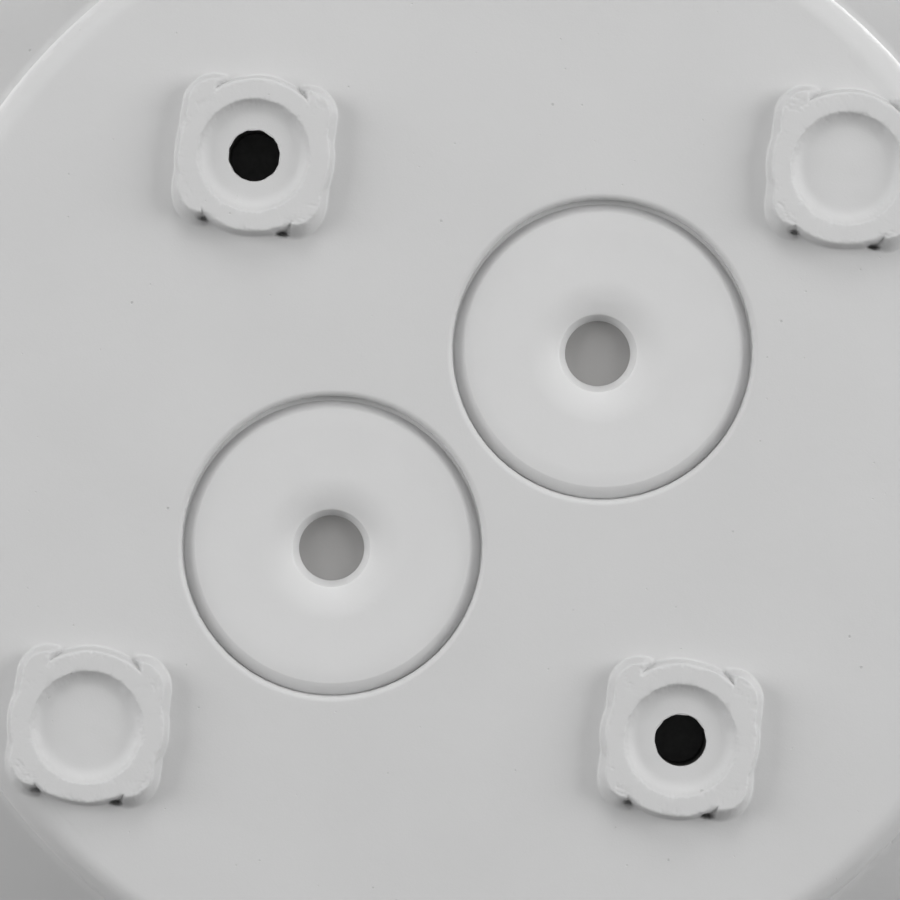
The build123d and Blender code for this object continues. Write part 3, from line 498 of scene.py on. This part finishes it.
def ring_points(centre, radii, count):
    """Points (x, z) on circles about a centre. A circle's radius may vary from point to point."""
    angles = np.arange(count) * 2 * pi / count
    radii = radii.reshape(len(radii), -1)
    x, z = centre[0] + radii * np.cos(angles), centre[1] + radii * np.sin(angles)
    return np.stack([x.ravel(), z.ravel()], axis=1)


def distance(x, z, place):
    return np.hypot(x - place[0], z - place[1])


def clear_of(x, z, places, radius):
    """Whether points are outside circles of one radius about some places."""
    return np.all([distance(x, z, place) > radius for place in places], axis=0)


def lug_height(along, up):
    """Height of the four corner lugs of a boss, whose lower sides slope more gently."""
    reach_up = np.where(up > 0, LUG_REACH, LUG_LOW_REACH)
    run_up = np.where(up > 0, LUG_RUN, LUG_LOW_RUN)
    past_along = np.maximum(np.abs(along) - LUG_REACH + LUG_CORNER, 0)
    past_up = np.maximum(np.abs(up) - reach_up + LUG_CORNER, 0)
    past = np.maximum(np.hypot(past_along, past_up), 1e-6)
    run = (LUG_RUN * past_along**2 + run_up * past_up**2) / past**2
    fall = smooth((past - LUG_CORNER) / np.maximum(run, LUG_RUN))
    upper = smooth((np.abs(along) - LUG_START[0]) / LUG_START[1])
    lower = smooth((np.abs(along) - LUG_LOW_START[0]) / LUG_LOW_START[1])
    return BOSS_HEIGHT * (1 - fall) * np.where(up > 0, upper, lower)


def side_profile(edge_round, draft, foot_round):
    """Side of a boss as (distance outside its outline, height): round edge, wall and foot."""
    lean = radians(draft)
    turns = np.linspace(pi / 2, lean, 9)
    edge_x = edge_round * (np.cos(turns) - 1)
    edge_h = BOSS_HEIGHT + edge_round * (np.sin(turns) - 1)
    wall_run = (edge_h[-1] - foot_round * (1 - sin(lean))) * sin(lean) / cos(lean)
    feet = np.linspace(pi + lean, 1.5 * pi, 7)
    foot_x = edge_x[-1] + wall_run + foot_round * (cos(lean) + np.cos(feet))
    foot_h = foot_round * (1 + np.sin(feet))
    return np.concatenate([edge_x, foot_x]), np.concatenate([edge_h, foot_h])


def recess_side():
    """Side of the recess in a boss as (distance outside its radius, height): bowl, then rim."""
    tilt = radians(RECESS_TILT)
    bowl = np.linspace(0, tilt, 9)
    rim = np.linspace(tilt, 0, 6)[1:]
    bowl_x, bowl_h = RECESS_ROUND * np.sin(bowl), RECESS_ROUND * (1 - np.cos(bowl))
    rim_x = bowl_x[-1] + RECESS_RIM_ROUND * (sin(tilt) - np.sin(rim))
    rim_h = bowl_h[-1] + RECESS_RIM_ROUND * (np.cos(rim) - cos(tilt))
    x, height = np.concatenate([bowl_x, rim_x]), np.concatenate([bowl_h, rim_h])
    return x - x[-1], height - height[-1] + BOSS_HEIGHT


class Boss:
    """One standoff boss of the rear plate: its points and its height over the plate."""

    def __init__(self, centre, drilled, seed):
        self.centre = np.array(centre)
        self.drilled = drilled
        self.wobble = Ripple(seed, 2.6)
        self.lumps = Ripple(seed + 1, 1.1)
        self.grit = Ripple(seed + 2, 0.36, waves=24)
        random = np.random.default_rng(seed + 3)
        self.waves = np.arange(2, 11)
        self.starts = random.uniform(0, 2 * pi, len(self.waves))
        shares = random.uniform(0.2, 1.0, len(self.waves))
        self.swings = shares * BOSS_STRAY / np.sqrt(self.waves)
        self.side = side_profile(*BOSS_SIDE)
        self.recess = recess_side()

    def bend(self, angles):
        """How far the cast outline strays from its true form at each angle."""
        return (np.sin(angles[:, None] * self.waves + self.starts) * self.swings).sum(axis=1)

    def paint(self, x, z, wobble, lumps, grit):
        """How uneven the thick paint is, from how far each kind of unevenness swings."""
        return wobble * self.wobble(x, z) + lumps * self.lumps(x, z) + grit * self.grit(x, z)

    def points(self):
        outline = BOSS_RINGS[:, None] + self.bend(np.arange(BOSS_STEPS) * 2 * pi / BOSS_STEPS)
        rings = [ring_points(self.centre, outline, BOSS_STEPS)]
        rings.append(ring_points(self.centre, BOSS_RECESS + self.recess[0], BOSS_STEPS))
        if self.drilled:
            rings.append(ring_points(self.centre, FIXING_HOLE + HOLE_RINGS, HOLE_STEPS))
        else:
            rings.append(ring_points(self.centre, BLIND_RINGS, BLIND_STEPS))
        return np.concatenate(rings)

    def height(self, x, z):
        """Height over the plate."""
        dx, dz = x - self.centre[0], z - self.centre[1]
        radius, angles = np.hypot(dx, dz), np.arctan2(dz, dx)
        strayed = 1 - self.bend(angles) / BOSS_RADIUS
        turn = radians(BOSS_TURN)
        along = (dx * cos(turn) + dz * sin(turn)) * strayed
        up = (dz * cos(turn) - dx * sin(turn)) * strayed
        outside = radius * strayed - BOSS_RADIUS
        height = np.maximum(np.interp(outside, *self.side), lug_height(along, up))
        raised = np.clip(height * 2, 0, 1)
        near_edge = np.clip((outside + EDGE_BAND[0]) / EDGE_BAND[1], 0, 1) * raised
        height = height + self.paint(x, z, *EDGE_PAINT) * (TOP_SHARE * raised + near_edge)
        inside = radius - BOSS_RECESS
        bowl = np.interp(inside, *self.recess) + BOWL_WOBBLE * self.wobble(x, z)
        near_rim = np.exp(-(((inside + RIM_BAND[0]) / RIM_BAND[1]) ** 2))
        bowl = bowl + near_rim * self.paint(x, z, *RIM_PAINT)
        height = np.where(inside < 0, np.minimum(height, bowl), height)
        height = np.minimum(height, BOSS_HEIGHT)
        for (notch_along, notch_up), (long, wide) in NOTCHES:
            away = ((along - notch_along) / long) ** 2 + ((up - notch_up) / wide) ** 2
            height = height - NOTCH_DEPTH * np.exp(-away)
        return height


class Plate:
    """The rear face of the casting as a height over the plate, and the points that carry it."""

    def __init__(self, outer_radius):
        half = FIXING_SPACING / 2
        fixing = (half * cos(radians(FIXING_ANGLE)), half * sin(radians(FIXING_ANGLE)))
        blind = (-BLIND_PLACE[0], BLIND_PLACE[1])
        self.fixings = [fixing, (-fixing[0], -fixing[1])]
        self.blinds = [blind, (-blind[0], -blind[1])]
        self.grommets = [(-GROMMET_PLACE[0], GROMMET_PLACE[1]), (GROMMET_PLACE[0], -GROMMET_PLACE[1])]
        places = [(place, True) for place in self.fixings] + [(place, False) for place in self.blinds]
        self.bosses = [Boss(place, drilled, 11 + 7 * n) for n, (place, drilled) in enumerate(places)]
        self.wave = Ripple(5, 22.0)
        self.outer_radius = outer_radius
        rounded_off = EDGE_ROUND - (SKIN_DEPTH - PLATE_DEPTH)
        self.flat_end = outer_radius - sqrt(EDGE_ROUND**2 - rounded_off**2)

    def rings(self):
        reach = self.outer_radius - self.flat_end - EDGE_CLEARANCE - 0.01
        edge = self.flat_end + np.concatenate([[-0.8], np.linspace(0, reach, 10)])
        found = [ring_points((0, 0), edge, EDGE_STEPS)]
        for place in self.grommets:
            found.append(ring_points(place, GROMMET_RECESS + RIM_RINGS, RIM_STEPS))
        return np.concatenate(found)

    def ground(self):
        """An even grid for the open plate, kept clear of the bosses, grommets and edge."""
        across = np.arange(-self.outer_radius, self.outer_radius, GRID_STEP)
        x, z = (axis.ravel() for axis in np.meshgrid(across, across))
        x = x + np.where(np.round(z / GRID_STEP) % 2 == 0, 0.0, GRID_STEP / 2)
        keep = np.hypot(x, z) < self.flat_end - GRID_EDGE_CLEARANCE
        keep &= clear_of(x, z, self.fixings + self.blinds, GRID_BOSS_CLEARANCE)
        keep &= clear_of(x, z, self.grommets, GROMMET_RECESS + GRID_RECESS_CLEARANCE)
        return np.stack([x[keep], z[keep]], axis=1)

    def points(self):
        found = [self.rings(), self.ground()] + [boss.points() for boss in self.bosses]
        found = np.concatenate(found)
        x, z = found[:, 0], found[:, 1]
        keep = np.hypot(x, z) < self.outer_radius - EDGE_CLEARANCE
        keep &= clear_of(x, z, self.grommets, GROMMET_RECESS + RECESS_CLEARANCE)
        keep &= clear_of(x, z, self.fixings, FIXING_HOLE + HOLE_CLEARANCE)
        return found[keep]

    def height(self, x, z):
        radius = np.hypot(x, z)
        past = np.clip(radius - self.flat_end, 0, EDGE_ROUND * 0.999)
        base = np.sqrt(EDGE_ROUND**2 - past**2) - EDGE_ROUND
        base = base + PLATE_WAVE * self.wave(x, z) * (radius < self.flat_end - 0.5)
        rim = GROMMET_RIM_ROUND
        for place in self.grommets:
            inside = np.clip(rim - distance(x, z, place) + GROMMET_RECESS, 0, rim)
            base = base + np.sqrt(np.maximum(rim**2 - inside**2, 0)) - rim
        for boss in self.bosses:
            near = distance(x, z, boss.centre) < BOSS_NEAR
            rise = boss.height(x[near], z[near])
            base[near] = rise + base[near] * (1 - np.clip(rise / BOSS_HEIGHT, 0, 1))
        return base


def border_loops(mesh):
    """The open borders of a mesh, each as its vertices in order."""
    open_edges = {edge for edge in mesh.edges if len(edge.link_faces) == 1}
    loops = []
    while open_edges:
        edge = open_edges.pop()
        loop = [edge.verts[0], edge.verts[1]]
        while True:
            onward = next((e for e in loop[-1].link_edges if e in open_edges), None)
            if onward is None:
                break
            open_edges.remove(onward)
            loop.append(onward.other_vert(loop[-1]))
        loops.append(loop[:-1] if loop[0] == loop[-1] else loop)
    return loops


class Border:
    """An open border of the casting, where the new rear skin joins it."""

    def __init__(self, loop):
        self.loop = loop
        self.centre = sum((vert.co for vert in loop), Vector()) / len(loop) / MM
        self.reach = max((vert.co / MM - self.centre).length for vert in loop)
        self.drilled = self.reach < FIXING_HOLE + 0.5

    def edges(self, start):
        """The border's edges as pairs of numbers, counted on from a start."""
        count = len(self.loop)
        return [(start + n, start + (n + 1) % count) for n in range(count)]

    def points(self):
        """The border's points (x, z). Paint makes the mouth of a drilled hole a little ragged."""
        x = np.array([vert.co.x for vert in self.loop]) / MM
        z = np.array([vert.co.z for vert in self.loop]) / MM
        if self.drilled:
            middle = (self.centre.x, self.centre.z)
            ragged = Ripple(int(300 + self.centre.x), 0.5)
            mouth = FIXING_HOLE + MOUTH_GROWTH + MOUTH_RAGGEDNESS * ragged(x, z)
            growth = mouth / distance(x, z, middle)
            x, z = middle[0] + (x - middle[0]) * growth, middle[1] + (z - middle[1]) * growth
        return np.stack([x, z], axis=1)


def mark_sharp(mesh, degrees):
    """Smooth shading, with a crease wherever two faces meet at more than this angle."""
    for face in mesh.faces:
        face.smooth = True
    for edge in mesh.edges:
        edge.smooth = edge.calc_face_angle(0.0) < radians(degrees)


def add_object(mesh, name, material, body):
    """A finished bmesh as an object with one material that rides on a body."""
    data = bpy.data.meshes.new(name)
    mesh.to_mesh(data)
    mesh.free()
    data.materials.append(slots[material])
    made = bpy.data.objects.new(name, data)
    bpy.context.scene.collection.objects.link(made)
    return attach(made, body)


def weighted_normals(thing):
    """Keeps wide flat faces flat in the shading."""
    modifier = thing.modifiers.new("weighted", "WEIGHTED_NORMAL")
    modifier.keep_sharp = True
    modifier.weight = 60


def open_casting():
    """The CAD housing without its rear skin, and with finer edges round the drilled holes."""
    mesh = bmesh.new()
    mesh.from_mesh(nodes["housing"].data)
    bmesh.ops.remove_doubles(mesh, verts=mesh.verts, dist=0.001 * MM)
    everything = mesh.verts[:] + mesh.edges[:] + mesh.faces[:]
    cut = {"plane_co": (0, -SKIN_DEPTH * MM, 0), "plane_no": (0, 1, 0), "clear_outer": True}
    bmesh.ops.bisect_plane(mesh, geom=everything, dist=1e-7, **cut)
    mark_sharp(mesh, degrees=32)
    holes = []
    for border in map(Border, border_loops(mesh)):
        if border.drilled:
            holes += [mesh.edges.get((border.loop[n], border.loop[m])) for n, m in border.edges(0)]
    bmesh.ops.subdivide_edges(mesh, edges=holes, cuts=3)
    return mesh


def lay_skin(mesh, plate, borders, outer):
    """Lays a new rear skin over the open casting, and joins it to the borders."""
    starts = np.cumsum([0] + [len(border.loop) for border in borders]).tolist()
    inner_start = starts.pop()
    edges = sum((border.edges(start) for border, start in zip(borders, starts)), [])
    points = np.concatenate([border.points() for border in borders] + [plate.points()])
    points = [Vector(point) for point in points]
    flat, _, triangles, origins, _, _ = delaunay_2d_cdt(points, edges, [], 1, 1e-6)

    x = np.array([point.x for point in flat])
    z = np.array([point.y for point in flat])
    depth = PLATE_DEPTH - plate.height(x, z)
    outer_start = starts[borders.index(outer)]
    rim = {outer_start + n: vert for n, vert in enumerate(outer.loop)}
    skin, mouths = [], {}
    for n, sources in enumerate(origins):
        source = next((one for one in sources if one < inner_start), None)
        if source in rim:
            skin.append(rim[source])
            continue
        skin.append(mesh.verts.new((x[n] * MM, -depth[n] * MM, z[n] * MM)))
        if source is not None:
            mouths[source] = skin[-1]

    triangles = np.array(triangles)
    middle_x, middle_z = x[triangles].mean(axis=1), z[triangles].mean(axis=1)
    keep = clear_of(middle_x, middle_z, plate.grommets, GROMMET_RECESS * 0.999)
    keep &= clear_of(middle_x, middle_z, plate.fixings, FIXING_HOLE * 0.999)
    for corners in triangles[keep]:
        mesh.faces.new([skin[corner] for corner in corners]).smooth = True
    for border, start in zip(borders, starts):
        if border is outer:
            continue
        for n, m in border.edges(0):
            wall = (mouths[start + n], mouths[start + m], border.loop[m], border.loop[n])
            mesh.faces.new(wall).smooth = True


def housing_casting():
    """The casting, with its rear skin replaced by one that has the bosses' cast and painted form."""
    mesh = open_casting()
    borders = [Border(loop) for loop in border_loops(mesh)]
    outer = max(borders, key=lambda border: border.reach)
    plate = Plate(max(hypot(vert.co.x, vert.co.z) for vert in outer.loop) / MM)
    lay_skin(mesh, plate, borders, outer)
    bmesh.ops.recalc_face_normals(mesh, faces=mesh.faces)
    # The fixing holes' wall faces take the second material, near-black: painted shade of the deep holes
    for face in mesh.faces:
        middle = face.calc_center_median() / MM
        off = min(distance(middle.x, middle.z, place) for place in plate.fixings)
        if off < FIXING_HOLE + 0.2 and abs(face.normal.y) < 0.5:
            face.material_index = 1
    made = add_object(mesh, "housing_casting", "housing_paint", "housing")
    made.data.materials.append(bore_painted_shade)
    weighted_normals(made)
    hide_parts("housing")


def arc(centre, radius, start, end, steps):
    """Points (radius, depth) on an arc, with angles in degrees from the outward direction."""
    turns = [radians(start + (end - start) * n / steps) for n in range(steps + 1)]
    return [(centre[0] + radius * cos(turn), centre[1] + radius * sin(turn)) for turn in turns]


def grommet_profile():
    """Membrane, throat, dished face with a bevelled lip, neck, inner flange and nipple."""
    membrane_back = MEMBRANE_DEPTH + MEMBRANE_THICKNESS
    flange_near, flange_far = INNER_FLANGE_DEPTHS
    corner = GROMMET_CORNER
    profile = [(0.0, MEMBRANE_DEPTH), (MEMBRANE_RADIUS * 0.5, MEMBRANE_DEPTH)]
    profile += [(MEMBRANE_RADIUS - corner, MEMBRANE_DEPTH), (MEMBRANE_RADIUS, MEMBRANE_DEPTH - 0.08)]
    profile += arc((THROAT_RADIUS + 0.10, THROAT_DEPTH + 0.12), THROAT_ROUND, 190, 245, 4)
    for share in np.arange(1, 17) / 16:
        radius = mix(THROAT_RADIUS + corner, FUNNEL_RADIUS, share)
        profile.append((radius, mix(FUNNEL_DEPTH, THROAT_DEPTH, (1 - share) ** FUNNEL_CURVE)))
    for share in (0.25, 0.5, 0.75):
        radius = mix(FUNNEL_RADIUS, CREASE_RADIUS, share)
        profile.append((radius, mix(FUNNEL_DEPTH, FACE_DEPTH, share)))
    profile += [(CREASE_RADIUS - corner, FACE_DEPTH + 0.004), (CREASE_RADIUS + 0.04, FACE_DEPTH + 0.04)]
    profile += [(LIP_RADIUS - corner, LIP_DEPTH - corner), (LIP_RADIUS, LIP_DEPTH + 0.03)]
    profile += [(LIP_RADIUS, SEAT_DEPTH), (NECK_RADIUS, SEAT_DEPTH)]
    profile += [(NECK_RADIUS, flange_near), (INNER_FLANGE, flange_near)]
    curve = INNER_FLANGE_ROUND
    profile += arc((INNER_FLANGE - curve, flange_far - curve), curve, 0, 90, 4)
    profile += [(NIPPLE_ROOT, flange_far), NIPPLE_TIP, (MEMBRANE_RADIUS + 0.3, NIPPLE_TIP[1])]
    profile += [(MEMBRANE_RADIUS, membrane_back), (0.0, membrane_back)]
    return profile


def turned_grommet(centre, offset):
    """The grommet's profile turned about the front-to-back axis at (x, z).

    The offset moves the hole sideways, and fades out towards the neck's radius.
    """
    mesh = bmesh.new()
    rings = []
    for radius, depth in grommet_profile():
        share = smooth((NECK_RADIUS - radius) / (NECK_RADIUS - THROAT_RADIUS))
        x, z = centre[0] + offset[0] * share, centre[1] + offset[1] * share
        if radius == 0:
            rings.append([mesh.verts.new((x * MM, -depth * MM, z * MM))])
            continue
        slant = 0.0
        if depth < SEAT_DEPTH:
            slant = LIP_SLANT * max(0, (radius - THROAT_RADIUS) / (LIP_RADIUS - THROAT_RADIUS))
        ring = []
        for turn in np.arange(GROMMET_STEPS) * 2 * pi / GROMMET_STEPS:
            sunk = depth + slant * (1 + sin(turn)) / 2
            place = (x + radius * cos(turn), -sunk, z + radius * sin(turn))
            ring.append(mesh.verts.new(Vector(place) * MM))
        rings.append(ring)
    for one, other in zip(rings, rings[1:]):
        for n in range(GROMMET_STEPS):
            m = (n + 1) % GROMMET_STEPS
            corners = [one[n % len(one)], one[m % len(one)]]
            corners += [other[m % len(other)], other[n % len(other)]]
            mesh.faces.new(list(dict.fromkeys(corners)))
    bmesh.ops.recalc_face_normals(mesh, faces=mesh.faces)
    mark_sharp(mesh, degrees=40)
    return mesh


def grommets():
    for side, sign in (("upper", -1), ("lower", 1)):
        centre = (sign * GROMMET_PLACE[0], -sign * GROMMET_PLACE[1])
        mesh = turned_grommet(centre, HOLE_OFFSETS[side])
        # Membrane faces take the darker copy of the silicone: painted shade deep in the hole
        for face in mesh.faces:
            if all(abs(vert.co.y / MM + MEMBRANE_DEPTH) < 0.01 for vert in face.verts):
                face.material_index = 1
        made = add_object(mesh, f"grommet_{side}", "white_silicone", "housing")
        made.data.materials.append(membrane_painted_shade)
        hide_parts(f"cable_grommet_{side}")


def helix_ridge(base_radius, depths, width, outwards):
    """A thread ridge with run-outs at both ends, right-handed about the light's axis."""
    mesh = bmesh.new()
    turns = (depths[1] - depths[0]) / THREAD_PITCH
    steps = int(turns * THREAD_STEPS)
    sign = 1 if outwards else -1
    rings = []
    for n in range(steps + 1):
        share = n / steps
        turn = -share * turns * 2 * pi
        depth = mix(depths[0], depths[1], share)
        rise = THREAD_HEIGHT * min(1.0, min(share, 1 - share) * turns * 6)
        ring = []
        for along, out in THREAD_SECTION:
            radius = base_radius + sign * (rise * out - THREAD_ROOT * (1 - out))
            place = (radius * cos(turn) * MM, -(depth + along * width) * MM, radius * sin(turn) * MM)
            ring.append(mesh.verts.new(place))
        rings.append(ring)
    for one, other in zip(rings, rings[1:]):
        for n in range(len(THREAD_SECTION)):
            m = (n + 1) % len(THREAD_SECTION)
            mesh.faces.new([one[n], one[m], other[m], other[n]])
    mesh.faces.new(rings[0])
    mesh.faces.new(rings[-1][::-1])
    bmesh.ops.recalc_face_normals(mesh, faces=mesh.faces)
    mark_sharp(mesh, degrees=35)
    return mesh


def threads():
    outer = helix_ridge(COLLAR_RADIUS, THREAD_DEPTHS, 1.3, outwards=True)
    add_object(outer, "collar_thread", "housing_paint", "housing")
    depths = (THREAD_DEPTHS[0] - THREAD_PITCH / 2, THREAD_DEPTHS[1] + THREAD_PITCH / 2)
    inner = helix_ridge(RING_BORE, depths, 1.0, outwards=False)
    add_object(inner, "ring_thread", "housing_paint", "ring")


def soften(name, width):
    """Rounds a node's sharp edges, as moulding and paint do."""
    weld = nodes[name].modifiers.new("weld", "WELD")
    weld.merge_threshold = 0.001 * MM
    bevel = nodes[name].modifiers.new("round", "BEVEL")
    bevel.width = width * MM
    bevel.segments = 2
    bevel.limit_method = "ANGLE"
    bevel.angle_limit = radians(30)
    bevel.harden_normals = True


# Studio


def camera():
    turn = radians(TURN_IN_PICTURE)
    right = Vector((-cos(turn), 0, sin(turn)))
    up = Vector((sin(turn), 0, cos(turn)))
    back = Vector((0, 1, 0))
    off_right = (AXIS_IN_PICTURE[0] - PICTURE_SIZE / 2) / PIXELS_PER_MM
    off_up = (PICTURE_SIZE / 2 - AXIS_IN_PICTURE[1]) / PIXELS_PER_MM
    data = bpy.data.cameras.new("camera")
    data.sensor_width = SENSOR_WIDTH
    data.lens = CAMERA_DISTANCE * PIXELS_PER_MM * SENSOR_WIDTH / PICTURE_SIZE
    data.clip_start = 0.01
    made = bpy.data.objects.new("camera", data)
    place = back * (CAMERA_DISTANCE - PLATE_DEPTH) - right * off_right - up * off_up
    made.matrix_world = Matrix.Translation(place * MM) @ Matrix((right, up, back)).transposed().to_4x4()
    bpy.context.scene.collection.objects.link(made)
    bpy.context.scene.camera = made


def lamp(name, place, size, watts):
    """A square soft light at a place in metres, aimed at the frame's origin."""
    data = bpy.data.lights.new(name, "AREA")
    data.size = size
    data.energy = watts
    made = bpy.data.objects.new(name, data)
    made.location = place
    made.rotation_mode = "QUATERNION"
    made.rotation_quaternion = (-Vector(place)).to_track_quat("-Z", "Y")
    bpy.context.scene.collection.objects.link(made)


def backdrop_rays(tree):
    """1 for rays that show the surround itself: camera, glossy and transmission rays."""
    rays = add_node(tree, "ShaderNodeLightPath").outputs
    total = rays["Is Camera Ray"]
    for kind in ("Is Glossy Ray", "Is Transmission Ray"):
        both = add_node(tree, "ShaderNodeMath", {0: total, 1: rays[kind]}, operation="MAXIMUM")
        total = both.outputs[0]
    return total


def sky():
    """A surround that is brightest level with the object, and shows one plain tone to the camera."""
    world = bpy.data.worlds.new("surround")
    world.use_nodes = True
    tree = world.node_tree
    tree.nodes.clear()
    ahead = add_node(tree, "ShaderNodeTexCoord").outputs["Generated"]
    upward = add_node(tree, "ShaderNodeSeparateXYZ", {0: ahead}).outputs["Z"]
    even = {"interpolation_type": "SMOOTHSTEP"}
    below = add_ramp(tree, upward, -0.25, 0.05, 0.0, 1.0, **even)
    above = add_ramp(tree, upward, 0.25, 0.75, SKY_LEVEL, SKY_ZENITH, **even)
    product = add_node(tree, "ShaderNodeMath", {0: below, 1: above}, operation="MULTIPLY")
    inputs = {"Color": (1.0, 1.0, 1.0, 1.0), "Strength": product.outputs[0]}
    soft = add_node(tree, "ShaderNodeBackground", inputs)
    plain = add_node(tree, "ShaderNodeBackground", {"Color": (SKY_SEEN, SKY_SEEN, SKY_SEEN, 1.0)})
    inputs = {0: backdrop_rays(tree), 1: soft.outputs[0], 2: plain.outputs[0]}
    both = add_node(tree, "ShaderNodeMixShader", inputs)
    add_node(tree, "ShaderNodeOutputWorld", {"Surface": both.outputs[0]})
    bpy.context.scene.world = world


def floor():
    """A pale floor that throws little light back up, and is see-through from below."""
    bpy.ops.mesh.primitive_grid_add(x_subdivisions=2, y_subdivisions=2, size=6.0)
    made = bpy.context.object
    made.name = "floor"
    made.location = (0, 0, cad_box[0].z - 0.0002)
    s = Shader("floor")
    s.set(roughness=0.9)
    tone = s.blend(backdrop_rays(s.tree), grey(FLOOR_THROWN), grey(FLOOR_SEEN))
    s.link(tone, "Base Color")
    below = s.node("ShaderNodeNewGeometry").outputs["Backfacing"]
    clear = s.node("ShaderNodeBsdfTransparent").outputs[0]
    both = s.node("ShaderNodeMixShader", {0: below, 1: s.surface.outputs[0], 2: clear})
    s.tree.links.new(both.outputs[0], s.tree.nodes["Material Output"].inputs["Surface"])
    made.data.materials.append(s.material)


def studio():
    bpy.context.scene.view_settings.view_transform = "Standard"
    sky()
    floor()
    for name, (place, size, watts) in LAMPS.items():
        lamp(name, place, size, watts)


camera()
dress_frame()
housing_casting()
grommets()
threads()
soften("front_ring", 0.25)
studio()
